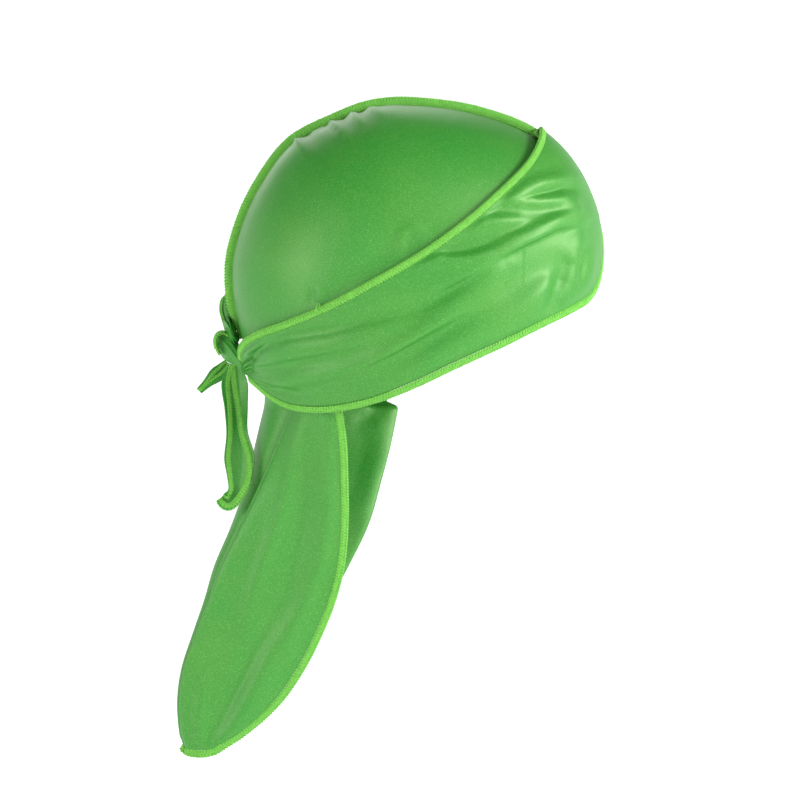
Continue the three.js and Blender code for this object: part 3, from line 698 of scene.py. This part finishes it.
def strap_grid(side, steps=330, rows=92):
    azimuth = np.linspace(STRAP_STARTS[side], strap_edges[-1][0], steps)
    inset = HEM_WIDTH / 2 - HEM_OVERLAP
    edges = []
    for column in (LOWER, UPPER):
        middle, across, _ = strap_hem(side, column, steps)
        edges.append(middle + across * inset - CENTRE)
    breadth = np.linalg.norm(edges[1] - edges[0], axis=1)[:, None]
    share = np.linspace(0, 1, rows)[None, :]
    low, high = (unit(edge)[:, None, :] for edge in edges)
    direction = between(low, high, share[..., None])
    base_offset = strap_offset(azimuth, side)[:, None]
    base = on_head(direction, base_offset)
    to_edge = np.minimum(share, 1 - share) * breadth
    ease = 1 - np.exp(-((to_edge / EDGE_EASE) ** 2))
    past_middle = smooth_step(azimuth, -12, 6)[:, None]
    folds = creased(base, strap_creases, STRAP_WIDEN) * past_middle * STRAP_RELIEF
    lowest = base_offset - CROWN_WALL - ABOVE_CROWN
    deepest = np.where(azimuth < FRONT_ENDS, FRONT_DEPTH, SIDE_DEPTH)
    lowest = np.minimum(lowest, deepest[:, None])
    crossed = 1 - smooth_step(azimuth, 28, 50)[:, None]
    under = OVER_LIMIT + (UNDER_LIMIT - OVER_LIMIT) * crossed
    highest = OVER_LIMIT if side == RIGHT else under
    folds = held_in(folds, lowest, highest)
    gathered = smooth_step(azimuth, 136, 168)[:, None] * GATHER_HEIGHT
    folds = folds + gathered * np.cos(2 * np.pi * GATHERS * share)
    grid = on_head(direction, base_offset + folds * ease)
    return grid[:, ::-1] if side == LEFT else grid


straps = {}
for side, name in SIDE_NAMES.items():
    grid = strap_grid(side)
    straps[side] = make_piece(f"strap_satin_{name}", [cloth(grid, SATIN_THICKNESS)], satin)

# %% [markdown]
# ## The tail
# The tail is one wide piece that hangs from the nape, folded so that its near hem shows in
# front. Each level cut through it is a curve with the same bends: near hem, near fold, pleat,
# back fold, far fold, far hem. So the sheet is made from cuts, one above the other, as a
# tailor would lay out pleats, and the cuts high up lie on the head under the straps.

# %% The tail's cuts
TAIL_WALL = 1.0
TAIL_LENGTH = 187
FOLD_RADIUS = 1.3

# Drop, then hem, near fold, back and far fold as shares of the nape's place, spread as a share
# of the tail's half width, and pleat and turned-back length as shares of the nape's place
tail_sections = [
    (0.0, 0.46, 0.77, 0.97, 0.02, 0.88, 0.13, 0.2),
    (0.09, 0.43, 0.86, 1.025, 0.065, 0.78, 0.15, 0.28),
    (0.2, 0.42, 0.98, 1.09, 0.135, 0.6, 0.13, 0.3),
    (0.33, 0.42, 1.135, 1.2, 0.23, 0.45, 0.1, 0.28),
    (0.45, 0.45, 1.275, 1.325, 0.375, 0.36, 0.07, 0.2),
    (0.54, 0.51, 1.355, 1.39, 0.495, 0.3, 0.06, 0.12),
    (0.64, 0.61, 1.45, 1.475, 0.63, 0.25, 0.06, 0.08),
    (0.74, 0.74, 1.535, 1.555, 0.77, 0.2, 0.06, 0.08),
    (0.83, 0.9, 1.565, 1.585, 0.92, 0.17, 0.06, 0.08),
    (0.91, 1.11, 1.555, 1.575, 1.13, 0.14, 0.06, 0.08),
    (0.97, 1.33, 1.53, 1.55, 1.35, 0.12, 0.06, 0.07),
]
HEM, NEAR, BACK, FAR, SPREAD, PLEAT, TURN = range(1, 8)
bend_azimuths = np.array(
    [121, 129, 137, 143, 145, 147, 149, 151, 153, 161, 171, 192, 222, 252, 257, 261, 266]
)
BACK_BEND = 10
print("bends in a cut:", len(bend_azimuths))


def bends_on_head(tuck):
    mirrored = np.where(bend_azimuths > 180, 360 - bend_azimuths, bend_azimuths)
    side = np.where(bend_azimuths > 180, LEFT, RIGHT)
    elevation = along(strap_edges, mirrored, LOWER) + tuck
    return on_head(direction_of(mirrored, elevation, side), TAIL_WALL / 2)


under_strap = bends_on_head(0)
nape_x = under_strap[BACK_BEND, 0]
tail_half_width = -under_strap[0, 1]
tail_top = under_strap[:, 2].min() - HEM_WIDTH / 2 - SEWN_GAP


def bends_hanging(drop):
    size = [along(tail_sections, drop, column) for column in range(1, 8)]
    hem, near, back, far = (size[k] * nape_x for k in range(4))
    spread = size[SPREAD - 1] * tail_half_width
    r = FOLD_RADIUS
    pleat = near - size[PLEAT - 1] * nape_x
    turned = far + size[TURN - 1] * nape_x
    near_y = -0.62 * spread
    inner_y = near_y + 4 * r

    def part_way(start, end, share):
        return start + (end - start) * share

    outline = [
        (hem, -spread),
        (part_way(hem, near, 0.35), -0.95 * spread),
        (part_way(hem, near, 0.7), -0.82 * spread),
        (near + r, near_y),
        (near, near_y + r),
        (near + r, near_y + 2 * r),
        (pleat - r, near_y + 2 * r),
        (pleat, near_y + 3 * r),
        (pleat - r, inner_y),
        (part_way(near, back, 0.4), part_way(inner_y, 0.5 * spread, 0.12)),
        (back, part_way(inner_y, 0.5 * spread, 0.5)),
        (part_way(back, far, 0.08), part_way(inner_y, 0.5 * spread, 0.95)),
        (part_way(back, far, 0.5), 0.8 * spread),
        (far - r, spread),
        (far, spread + r),
        (far - r, spread + 2 * r),
        (turned, spread + 2 * r),
    ]
    height = tail_top - drop * TAIL_LENGTH
    return np.array([(x, y, height) for x, y in outline])


# %% A smooth curve through the bends of each cut
def centripetal(bends, per_bend):
    """Each row's curve through its bends, in the last axis but one."""
    first = 2 * bends[:, :1] - bends[:, 1:2]
    last = 2 * bends[:, -1:] - bends[:, -2:-1]
    padded_bends = np.concatenate([first, bends, last], axis=1)
    p0, p1, p2, p3 = (padded_bends[:, k : k + bends.shape[1] - 1] for k in range(4))
    gap_a, gap_b, gap_c = (
        np.maximum(np.linalg.norm(b - a, axis=-1, keepdims=True) ** 0.5, 1e-4)
        for a, b in ((p0, p1), (p1, p2), (p2, p3))
    )
    leave = ((p1 - p0) / gap_a - (p2 - p0) / (gap_a + gap_b) + (p2 - p1) / gap_b) * gap_b
    arrive = ((p2 - p1) / gap_b - (p3 - p1) / (gap_b + gap_c) + (p3 - p2) / gap_c) * gap_b
    t = (np.arange(per_bend) / per_bend)[None, None, :, None]
    p1, p2, leave, arrive = (v[:, :, None, :] for v in (p1, p2, leave, arrive))
    curve = (
        (2 * t**3 - 3 * t**2 + 1) * p1
        + (t**3 - 2 * t**2 + t) * leave
        + (-2 * t**3 + 3 * t**2) * p2
        + (t**3 - t**2) * arrive
    )
    curve = curve.reshape(len(bends), -1, 3)
    return np.concatenate([curve, bends[:, -1:]], axis=1)


TUCK_ROWS = 6
BRIDGE_ROWS = 18
HANGING_ROWS = 230
PER_BEND = 8


def tail_bends():
    """The bends of every cut, from under the strap down to the tip."""
    tucked = [bends_on_head(t) for t in np.linspace(CROWN_TUCK - 1.8, 0, TUCK_ROWS)]
    drops = np.linspace(0, tail_sections[-1][0], HANGING_ROWS)
    hanging = [bends_hanging(drop) for drop in drops]
    start, end = tucked[-1], hanging[0]
    reach = np.linalg.norm(end - start, axis=-1, keepdims=True)
    leave = unit(tucked[-1] - tucked[-2]) * reach
    arrive = unit(hanging[1] - hanging[0]) * reach
    bridge = []
    for t in np.linspace(0, 1, BRIDGE_ROWS + 2)[1:-1]:
        placed = (2 * t**3 - 3 * t**2 + 1) * start + (-2 * t**3 + 3 * t**2) * end
        bridge.append(placed + (t**3 - 2 * t**2 + t) * leave + (t**3 - t**2) * arrive)
    return np.array(tucked + bridge + hanging)


tail_rows = centripetal(tail_bends(), PER_BEND)
print("tail grid:", tail_rows.shape)

# %% The tail's long soft creases
near_creases = [
    ([(302, 424, 0.2), (294, 470, 0.9), (282, 512, 1.0), (268, 552, 0.9), (254, 592, 0.7),
      (243, 632, 0.2)], 4.0, 4.0),
    ([(316, 424, -0.3), (312, 470, -0.8), (305, 520, -0.9), (295, 560, -0.8),
      (282, 604, -0.4)], 4.0, 4.0),
    ([(330, 430, 0.2), (330, 500, 0.5), (322, 560, 0.8), (306, 600, 0.8), (286, 640, 0.3)],
     3.5, 3.5),
    ([(312, 612, 0.3), (290, 632, 0.8), (272, 660, 1.0), (255, 690, 1.0), (238, 718, 0.9),
      (222, 740, 0.5)], 9.0, 9.0),
    ([(278, 614, -0.4), (258, 648, -1.0), (240, 684, -1.1), (224, 716, -0.9),
      (212, 738, -0.4)], 4.5, 4.5),
    ([(326, 620, 0.2), (319, 652, 0.8), (304, 682, 0.8), (284, 706, 0.4)], 3.0, 3.0),
    ([(312, 640, -0.2), (300, 668, -0.6), (284, 690, -0.5), (262, 716, -0.3)], 2.5, 2.5),
    ([(206, 668, 0.2), (200, 706, 0.7), (199, 738, 0.6)], 3.5, 3.5),
    ([(326, 415, 0.4), (334, 423, 0.6), (337, 440, 0.2)], 1.8, 1.8),
]
far_creases = [
    ([(392, 396, -0.9), (378, 407, -1.2), (366, 419, -0.8), (358, 432, -0.3)], 2.0, 3.0),
    ([(380, 400, 0.6), (370, 404, 0.8), (356, 408, 0.4)], 2.0, 2.0),
    ([(384, 430, 0.5), (374, 470, 0.8), (362, 512, 0.6)], 4.0, 4.0),
    ([(352, 516, -0.3), (353, 546, -1.0), (350, 568, -1.1), (344, 590, -0.5)], 3.0, 3.0),
    ([(366, 440, -0.3), (360, 480, -0.7), (352, 520, -0.2)], 4.0, 4.0),
]
# In the grid's columns: the near face's end, the far face's ends, and how fast creases fade
NEAR_END, FAR_START, FAR_END, FADE = 4 * PER_BEND, 11 * PER_BEND, 13 * PER_BEND, 6
RIPPLE_HEIGHT, RIPPLE_COLUMNS = 0.4, 19.0
RIPPLE_WANDER, RIPPLE_ROWS = 1.2, 40.0
TAIL_RELIEF = 2.6
TIP_BACK_RISE, TIP_FRONT_RISE = 4.6, 0.8

# The tip is cut round: its corners are higher than its middle, the back one most
drop = np.linspace(0, tail_sections[-1][0], HANGING_ROWS)
tip_share = smooth_step(drop, 0.925, 0.97)[:, None]
hanging_x = tail_rows[-HANGING_ROWS:, :, 0]
low_x, high_x = hanging_x.min(1, keepdims=True), hanging_x.max(1, keepdims=True)
from_middle = (2 * hanging_x - low_x - high_x) / (high_x - low_x)
rounded = TIP_BACK_RISE * (1 - np.sqrt(1 - np.clip(-from_middle, 0, 0.98) ** 2.2))
rounded = rounded + TIP_FRONT_RISE * np.clip(from_middle, 0, 1) ** 2
tail_rows[-HANGING_ROWS:, :, 2] += tip_share * rounded

tail_normals = grid_normals(tail_rows)
column = np.arange(tail_rows.shape[1])[None, :]
row = np.arange(tail_rows.shape[0])[:, None]
to_hem = np.linalg.norm(tail_rows - tail_rows[:, :1], axis=-1)
on_near = 1 - smooth_step(column, NEAR_END - FADE, NEAR_END)
on_near = on_near * (1 - np.exp(-((to_hem / EDGE_EASE) ** 2)))
on_far = smooth_step(column, FAR_START, FAR_START + PER_BEND)
on_far = on_far * (1 - smooth_step(column, FAR_END - FADE, FAR_END))
below_strap = smooth_step(row, TUCK_ROWS + 2, TUCK_ROWS + BRIDGE_ROWS)
wander = RIPPLE_WANDER * np.sin(row / RIPPLE_ROWS)
ripple = RIPPLE_HEIGHT * np.sin(2 * np.pi * column / RIPPLE_COLUMNS + wander)
moved = creased(tail_rows, near_creases) * on_near * TAIL_RELIEF + ripple * on_near
out = np.sign((tail_normals[150, 10] * [0, -1, 0]).sum())
moved = moved * out - creased(tail_rows, far_creases) * on_far * out * TAIL_RELIEF
tail_cloth = tail_rows + tail_normals * (moved * below_strap)[..., None]
tail = make_piece("tail_satin", [cloth(tail_cloth, SATIN_THICKNESS)], satin)

# %% The tail's hem, down its near edge and round the tip
first_row = TUCK_ROWS + BRIDGE_ROWS
corner = BACK_BEND * PER_BEND
last = len(tail_cloth) - 1
down_edge = tail_cloth[first_row:, 0]
tip_edge = tail_cloth[last, 1 : corner + 1]
forward = unit(tail_cloth[first_row:, 0] - tail_cloth[first_row:, 2])
downward = unit(tail_cloth[last, 1 : corner + 1] - tail_cloth[last - 3, 1 : corner + 1])
hem_out = np.concatenate([forward, downward])
hem_edge = np.concatenate([down_edge, tip_edge])


def softened(values, reach):
    """Each row averaged with its neighbours, with the ends kept."""
    kernel = np.hanning(2 * reach + 3)[1:-1]
    kernel = kernel / kernel.sum()
    wide = np.concatenate([values[:1].repeat(reach, 0), values, values[-1:].repeat(reach, 0)])
    columns = [np.convolve(wide[:, k], kernel, mode="valid") for k in range(values.shape[1])]
    return np.stack(columns, -1)


edge_steps = np.linalg.norm(np.diff(hem_edge, axis=0), axis=1)
edge_lengths = np.concatenate([[0], np.cumsum(edge_steps)])
even = np.linspace(0, edge_lengths[-1], 700)
hem_edge = softened(at_lengths(hem_edge, edge_lengths, even), 9)
hem_out = unit(softened(at_lengths(hem_out, edge_lengths, even), 12))
tangent = unit(np.gradient(hem_edge, axis=0))
hem_out = unit(hem_out - (hem_out * tangent).sum(-1, keepdims=True) * tangent)
hem_middle = hem_edge + hem_out * (HEM_WIDTH / 2 - HEM_OVERLAP)
hem_normal = unit(np.cross(tangent, hem_out))
flips = np.sign((hem_normal[1:] * hem_normal[:-1]).sum(-1))
hem_normal[1:] *= np.cumprod(np.where(flips < 0, -1, 1))[:, None]
tail_hem = make_piece(
    "tail_overlock", overlock(hem_middle, -hem_out, hem_normal, seed=11), thread
)

# %% [markdown]
# ## The knot
# The straps' narrow ends are tied once behind the head, below the widest level. What shows is a
# small hard lump of gathered satin with a wound edge pulled over it, a loop that stands up, and
# two loose ends. The lump is made of rings from one strap's end to the other, fluted like
# twisted cloth, because a plain oval would look like a bead.

# %% The knot's body
KNOT_ELEVATION, KNOT_STAND_OFF = -23.4, 9.8
KNOT_DEPTH, KNOT_HEIGHT = 10, 16.5
knot_direction = direction_of(180.0, KNOT_ELEVATION, RIGHT)
knot_centre = on_head(knot_direction, CROWN_WALL + KNOT_STAND_OFF)
up_along_head = unit(np.cross([0.0, 1.0, 0.0], knot_direction))
# Share of the way out to a strap's end, and the depth and height of the ring there
knot_shape = [
    (0, 1.0, 0.97), (0.16, 1.0, 1.0), (0.4, 0.86, 0.86), (0.66, 0.62, 0.6), (1, 0.46, 0.4),
]
FLUTES, FLUTE_DEPTH = 7, 0.075


def strap_end(side):
    end = strap_grid(side, steps=60, rows=12)[-1]
    middle = (end[0] + end[-1]) / 2
    middle[1] -= side * 0.7
    return middle


knot_rings = []
turn = np.linspace(0, 2 * np.pi, 84, endpoint=False)
for reach in np.linspace(-1, 1, 91):
    side = RIGHT if reach < 0 else LEFT
    share = abs(reach)
    middle = knot_centre + (strap_end(side) - knot_centre) * share
    middle = middle + up_along_head * 2.5 * np.sin(np.pi * share)
    fluted = 1 - FLUTE_DEPTH * (1 - np.cos(FLUTES * turn + 2.6 * reach)) * (0.5 + share / 2)
    deep_by = along(knot_shape, share, 1) * KNOT_DEPTH / 2 * fluted
    tall_by = along(knot_shape, share, 2) * KNOT_HEIGHT / 2 * fluted
    ring = middle + knot_direction * (np.cos(turn) * deep_by)[:, None]
    knot_rings.append(ring + up_along_head * (np.sin(turn) * tall_by)[:, None])
knot_rings = np.array(knot_rings)

# Gathered cloth that fills the space between the knot and the crown
pad_out = direction_of(180.0, KNOT_ELEVATION + 3.4, RIGHT)
pad_centre = on_head(pad_out, CROWN_WALL + 4.7)
pad_up = unit(np.cross([0.0, 1.0, 0.0], pad_out))
pad_rings = []
for reach in np.linspace(-0.98, 0.98, 31):
    round_off = np.sqrt(1 - reach**2) * (1 - 0.12 * (1 - np.cos(FLUTES * turn + 4 * reach)))
    ring = pad_centre + pad_out * (np.cos(turn) * 3.4 * round_off)[:, None]
    ring = ring + pad_up * (np.sin(turn) * 9.2 * round_off)[:, None]
    pad_rings.append(ring + np.array([0.0, 8.5 * reach, 0.0]))
knot = make_piece("knot_satin", [skin(knot_rings), skin(np.array(pad_rings))], satin)

# %% The wound edges pulled over the knot
def knot_band(start_turn, end_turn, start_reach, end_reach, width, seed):
    """A wound edge laid on the knot from one place on it to another."""
    share = np.linspace(0, 1, 60)
    turn = np.radians(start_turn + (end_turn - start_turn) * share)
    reach = (start_reach + (end_reach - start_reach) * share) * 10
    deep_by, tall_by = KNOT_DEPTH / 2, KNOT_HEIGHT / 2
    slim = np.sqrt(np.clip(1 - (reach / 13) ** 2, 0.1, 1))
    out = knot_direction * np.cos(turn)[:, None] + up_along_head * np.sin(turn)[:, None]
    path = knot_centre + knot_direction * (np.cos(turn) * deep_by * slim)[:, None]
    path = path + up_along_head * (np.sin(turn) * tall_by * slim)[:, None]
    path = path + np.array([0.0, 1.0, 0.0]) * reach[:, None] + out * 0.2
    tangent = unit(np.gradient(path, axis=0))
    across = unit(np.cross(out, tangent))
    normal = unit(np.cross(tangent, across))
    return overlock(path, across, normal, width, 1.5, seed)


bands = [
    *knot_band(150, -20, -0.5, -0.62, 4.2, 21),
    *knot_band(120, 10, 0.1, -0.15, 3.8, 22),
    *knot_band(150, -20, 0.5, 0.62, 4.2, 23),
]
knot_edges = make_piece("knot_overlock", bands, thread)

# %% [markdown]
# ## The loop and the tie ends
# One strap was pulled through only half way, which leaves a small upright loop. The two ends
# come out below: a long one that hangs and curls at its tip, and a short one that points back.
# Each is a ribbon, cupped along its middle, whose wound edges lie partly on its face
# because the strap is folded lengthwise there.

# %% A ribbon along a path
def smooth_path(points, steps):
    curve = centripetal(np.asarray(points, float)[None], 24)[0]
    place = np.linspace(0, len(curve) - 1, steps)
    return at_lengths(curve, np.arange(len(curve)), place)


def edge_on(grid, share, width, thickness, face, seed):
    """A wound edge on a ribbon's face. share is -1 to 1 across it, one for each row."""
    rows, columns = grid.shape[:2]
    place = (np.asarray(share) + 1) / 2 * (columns - 1)
    low = np.clip(np.floor(place).astype(int), 0, columns - 2)
    part = (place - low)[:, None]
    index = np.arange(rows)
    path = grid[index, low] * (1 - part) + grid[index, low + 1] * part
    normals = grid_normals(grid)[index, low]
    normal = normals * face
    path = path + normal * (thickness * 0.35)
    tangent = unit(np.gradient(path, axis=0))
    across = unit(np.cross(normal, tangent))
    return overlock(path, across, normal, width, thickness, seed)


# %% The loop
LOOP_HEIGHT, LOOP_DEPTH, LOOP_WIDTH = 18.6, 6.4, 10
TIE_WALL = 1.2
TIE_SATIN = 0.8
loop_path = [(-0.2, -0.07), (0.12, 0.3), (0.36, 0.6), (0.26, 0.88),
             (-0.12, 0.98), (-0.5, 0.8), (-0.56, 0.44), (-0.58, -0.03)]
loop_foot = knot_centre + np.array([0, 0, KNOT_HEIGHT / 2 + SEWN_GAP])
loop_line = smooth_path(
    [loop_foot + [-aft * LOOP_DEPTH, 0, up * LOOP_HEIGHT] for aft, up in loop_path], 90
)
beside_seam = SEAM_THICKNESS / 2 + LAYER_GAP
shares = np.linspace(0, 1, 14)
loop_grid = np.repeat(loop_line[:, None], len(shares), axis=1)
loop_grid[..., 1] = beside_seam + shares[None, :] * LOOP_WIDTH
loop_grid[..., 0] += 0.5 * np.sin(np.pi * shares * 3)[None, :] * np.sin(
    np.linspace(0, np.pi, 90)
)[:, None]
petal = np.linspace(0, 1, 14)[None, :, None]
flat_loop = loop_line[3:44, None] * (1 - petal) + loop_line[86:45:-1, None] * petal
flat_loop[..., 1] = beside_seam + 1.6 - 1.2 * np.sin(np.pi * petal[..., 0])
loop_parts = [cloth(loop_grid, TIE_SATIN), cloth(flat_loop, TIE_SATIN)]
loop = make_piece("loop_satin", loop_parts, satin)
ones = np.ones(len(loop_line))
loop_bands = [
    *edge_on(loop_grid, -0.72 * ones, 3.0, 1.5, 1, 31),
    *edge_on(loop_grid, 0.72 * ones, 3.0, 1.5, 1, 32),
]
loop_edges = make_piece("loop_overlock", loop_bands, thread)

# %% The tie ends' shapes
LONG_LENGTH, LONG_WIDTH = 70, 16
SHORT_LENGTH, SHORT_WIDTH = 21, 11
# Aft, to the wearer's left, drop, width and cup, as shares of the end's width or length
long_end = [
    (-0.07, -0.16, 0.008, 0.34, 0.04), (-0.09, -0.16, 0.15, 0.85, 0.12),
    (-0.15, -0.34, 0.34, 0.76, 0.16), (-0.19, -0.72, 0.53, 0.7, 0.16),
    (-0.27, -0.98, 0.72, 1.0, 0.14), (-0.27, -1.06, 0.88, 0.8, 0.14),
    (-0.15, -1.08, 0.99, 0.52, 0.16), (0.11, -1.1, 1.06, 0.5, 0.2),
    (0.31, -1.06, 1.02, 0.46, 0.2),
]
short_end = [
    (0.2, 0.26, 0.0, 0.4, 0.04), (0.54, 0.26, 0.22, 0.7, 0.14), (0.8, 0.24, 0.33, 0.7, 0.18),
    (1.2, 0.24, 0.52, 0.42, 0.14), (1.6, 0.28, 0.72, 0.28, 0.08),
]


def tie_grid(table, length, width, steps, columns=26, fold=0.35):
    top = knot_centre - up_along_head * KNOT_HEIGHT / 2
    top[2] -= SEWN_GAP + TIE_WALL / 2
    points = [
        (top[0] - aft * width, side * width, top[2] - drop * length)
        for aft, side, drop, _, _ in table
    ]
    middle = smooth_path(points, steps)
    tangent = unit(np.gradient(middle, axis=0))
    across = unit(np.stack([-tangent[:, 2], 0 * tangent[:, 0], tangent[:, 0]], -1))
    at = np.linspace(0, 1, len(table))
    place = np.linspace(0, 1, steps)
    widths = along([(p, r[3]) for p, r in zip(at, table)], place)
    cups = along([(p, r[4]) for p, r in zip(at, table)], place)
    share = np.linspace(-1, 1, columns)[None, :]
    grid = middle[:, None] + across[:, None] * (share * widths[:, None] * width / 2)[..., None]
    sink = cups[:, None] * width * (0.5 - share**2)
    pleats = fold * np.sin(5.5 * share + 2.5 * place[:, None]) * np.sin(np.pi * place)[:, None]
    grid[..., 1] += sink + pleats
    return grid


# %% The long end
long_grid = tie_grid(long_end, LONG_LENGTH, LONG_WIDTH, 170)
long_tie = make_piece("tie_end_long_satin", [cloth(long_grid, TIE_SATIN)], satin)
place = np.linspace(0, 1, 170)
near_face = 1 if grid_normals(long_grid)[80, 12, 1] < 0 else -1
# How far across the end each wound edge lies, from its top down to its tip
front_places = [(0, -0.1), (0.16, 0.05), (0.4, 0.5), (0.6, 0.74), (0.8, 0.7), (1, 0.55)]
rear_places = [(0, -0.5), (0.2, -0.55), (0.4, -0.68), (0.6, -0.76), (0.8, -0.7), (1, -0.5)]
front_edge, rear_edge = along(front_places, place), along(rear_places, place)
aft_first = long_grid[80, 0, 0] < long_grid[80, -1, 0]
front_edge, rear_edge = (edge if aft_first else -edge for edge in (front_edge, rear_edge))
long_bands = [
    *edge_on(long_grid, front_edge, 4.0, 1.5, near_face, 41),
    *edge_on(long_grid, rear_edge, 3.2, 1.5, near_face, 42),
    *edge_on(long_grid, 0.8 * np.sin(place * 2.2), 3.6, 1.5, -near_face, 43),
]
long_edges = make_piece("tie_end_long_overlock", long_bands, thread)

# %% The short end
short_grid = tie_grid(short_end, SHORT_LENGTH, SHORT_WIDTH, 80, 22, fold=0.3)
short_tie = make_piece("tie_end_short_satin", [cloth(short_grid, TIE_SATIN)], satin)
place = np.linspace(0, 1, 80)
short_bands = [
    *edge_on(short_grid, 0.45 - 0.5 * place, 2.6, 1.4, near_face, 51),
    *edge_on(short_grid, -0.6 + 0.2 * place, 2.4, 1.4, near_face, 52),
]
short_edges = make_piece("tie_end_short_overlock", short_bands, thread)

# %% [markdown]
# ## A loose thread
# Where an overlock run ends, its thread tail is snipped and a small tuft is left. Here it sits
# on the right strap's upper hem, behind the temple. A few curled tubes are enough.

# %% The thread tuft
TUFT_AZIMUTH = 121.0
tuft_root_direction = direction_of(TUFT_AZIMUTH, along(strap_edges, TUFT_AZIMUTH, UPPER), RIGHT)
tuft_root = on_head(tuft_root_direction, strap_offset(TUFT_AZIMUTH, RIGHT) + 0.5)
tuft_parts = []
luck = np.random.default_rng(7)
for k in range(7):
    t = np.linspace(0, 1, 22)[:, None]
    lean = np.array([luck.uniform(-3.0, 2.5), -0.6, luck.uniform(2.2, 4.2)])
    curl = np.array([luck.uniform(-1.5, 1.5), -0.5, luck.uniform(-1.2, 0.6)])
    path = tuft_root + lean * t + curl * np.sin(np.pi * t * luck.uniform(0.8, 1.7))
    outward = np.broadcast_to([0.0, -1.0, 0.2], path.shape)
    tuft_parts.append(tube(path, np.linspace(0.34, 0.2, 22), outward))
tuft = make_piece("thread_tuft", tuft_parts, thread)

# %% [markdown]
# ## What rides on what
# The durag has no joint, so all of it rides on one body.

# %% Attach the pieces
attached = [
    (crown_panels[RIGHT], "satin", ["crown_panel_right"]),
    (crown_panels[LEFT], "satin", ["crown_panel_left"]),
    (crown_seam, "overlock_thread", ["crown_seam"]),
    (straps[RIGHT], "satin", ["strap_right"]),
    (straps[LEFT], "satin", ["strap_left"]),
    (strap_hems[RIGHT, UPPER], "overlock_thread", ["strap_right_upper_hem"]),
    (strap_hems[RIGHT, LOWER], "overlock_thread", ["strap_right_lower_hem"]),
    (strap_hems[LEFT, UPPER], "overlock_thread", ["strap_left_upper_hem"]),
    (strap_hems[LEFT, LOWER], "overlock_thread", ["strap_left_lower_hem"]),
    (tail, "satin", ["tail"]),
    (tail_hem, "overlock_thread", ["tail_hem"]),
    (knot, "satin", ["knot"]),
    (knot_edges, "overlock_thread", []),
    (loop, "satin", ["knot_loop"]),
    (loop_edges, "overlock_thread", []),
    (long_tie, "satin", ["tie_end_long"]),
    (long_edges, "overlock_thread", []),
    (short_tie, "satin", ["tie_end_short"]),
    (short_edges, "overlock_thread", []),
    (tuft, "overlock_thread", []),
]
for piece, slot, nodes in attached:
    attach(piece, "root")
    if nodes:
        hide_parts(*nodes)
print("pieces attached:", len(attached))


def sheet_area(piece):
    """Half of a closed sheet's surface, in square metres."""
    return sum(face.area for face in piece.data.polygons) / 2


for piece in (*crown_panels.values(), *straps.values(), tail, loop, long_tie, short_tie):
    print(f"{piece.name}: {sheet_area(piece):.5f} square metres")

# %% [markdown]
# ## Light, floor and camera
# The photograph has a white ground and broad soft light, strongest from the front and above, so
# the satin shows wide pale bands and no hard glints. Large area lights do that. The floor is a
# wide pale dish, a little below the tail's tip, so that it fills the view from any side.

# %% The floor
FLOOR = -0.40


def dish():
    rings = []
    for radius, height in ((0, 0), (2, 0), (6, 0), (7.5, 0.25), (8.7, 1.0), (9.4, 2.3), (9.6, 4)):
        turn = np.linspace(0, 2 * np.pi, 96, endpoint=False)
        level = np.full_like(turn, FLOOR + height)
        rings.append(np.stack([radius * np.cos(turn), radius * np.sin(turn), level], -1))
    rings = np.array(rings)
    index = np.arange(rings.shape[0] * 96).reshape(-1, 96)
    turned = np.roll(index, -1, axis=1)
    faces = np.stack([index[:-1], turned[:-1], turned[1:], index[1:]], -1).reshape(-1, 4)
    return rings.reshape(-1, 3) / MM, faces


floor_finish = Finish(
    "floor",
    Base_Color=(0.9, 0.9, 0.9, 1),
    Roughness=0.9,
    Emission_Color=(1, 1, 1, 1),
    Emission_Strength=0.68,
)
floor = make_piece("floor", [dish()], floor_finish.material)

# %% The lights
target = np.array([0.0, 0.0, -0.12])


def look_along(direction):
    """The rotation that turns a light or camera to look along a direction."""
    return Vector(direction).to_track_quat("-Z", "Y").to_euler()


def soft_light(name, direction, distance, size, power):
    """A square area light that looks at the durag from a direction."""
    data = bpy.data.lights.new(name, "AREA")
    data.shape, data.size, data.energy = "SQUARE", size, power
    light = bpy.data.objects.new(name, data)
    bpy.context.scene.collection.objects.link(light)
    away = unit(np.array(direction, float))
    light.location = target + away * distance
    light.rotation_euler = look_along(-away)


soft_light("key", (0.92, -0.42, 0.35), 1.5, 0.45, 22)
soft_light("top", (0.35, -0.75, 0.6), 1.6, 0.45, 5)
soft_light("rear", (-0.9, -0.65, 0.15), 1.6, 0.5, 8)
soft_light("behind", (-0.2, 1.0, 0.6), 1.8, 1.0, 8)
world = bpy.data.worlds.new("white_room")
bpy.context.scene.world = world
world.use_nodes = True
world.node_tree.nodes["Background"].inputs["Color"].default_value = (1, 1, 1, 1)
world.node_tree.nodes["Background"].inputs["Strength"].default_value = 0.28

# %% The camera, level and from the wearer's right
CAMERA_DISTANCE = 4.0
VIEW_WIDTH = 801 * STEP * MM
SENSOR = 36.0
centre_x, centre_z = side_view(400.5, 400.5)
camera_data = bpy.data.cameras.new("camera")
camera_data.sensor_width = SENSOR
camera_data.lens = SENSOR * CAMERA_DISTANCE / VIEW_WIDTH
camera = bpy.data.objects.new("camera", camera_data)
bpy.context.scene.collection.objects.link(camera)
camera.location = (centre_x * MM, -CAMERA_DISTANCE, centre_z * MM)
camera.rotation_euler = look_along((0, 1, 0))
bpy.context.scene.camera = camera
bpy.context.scene.view_settings.view_transform = "Standard"
print("lens:", round(camera_data.lens, 1))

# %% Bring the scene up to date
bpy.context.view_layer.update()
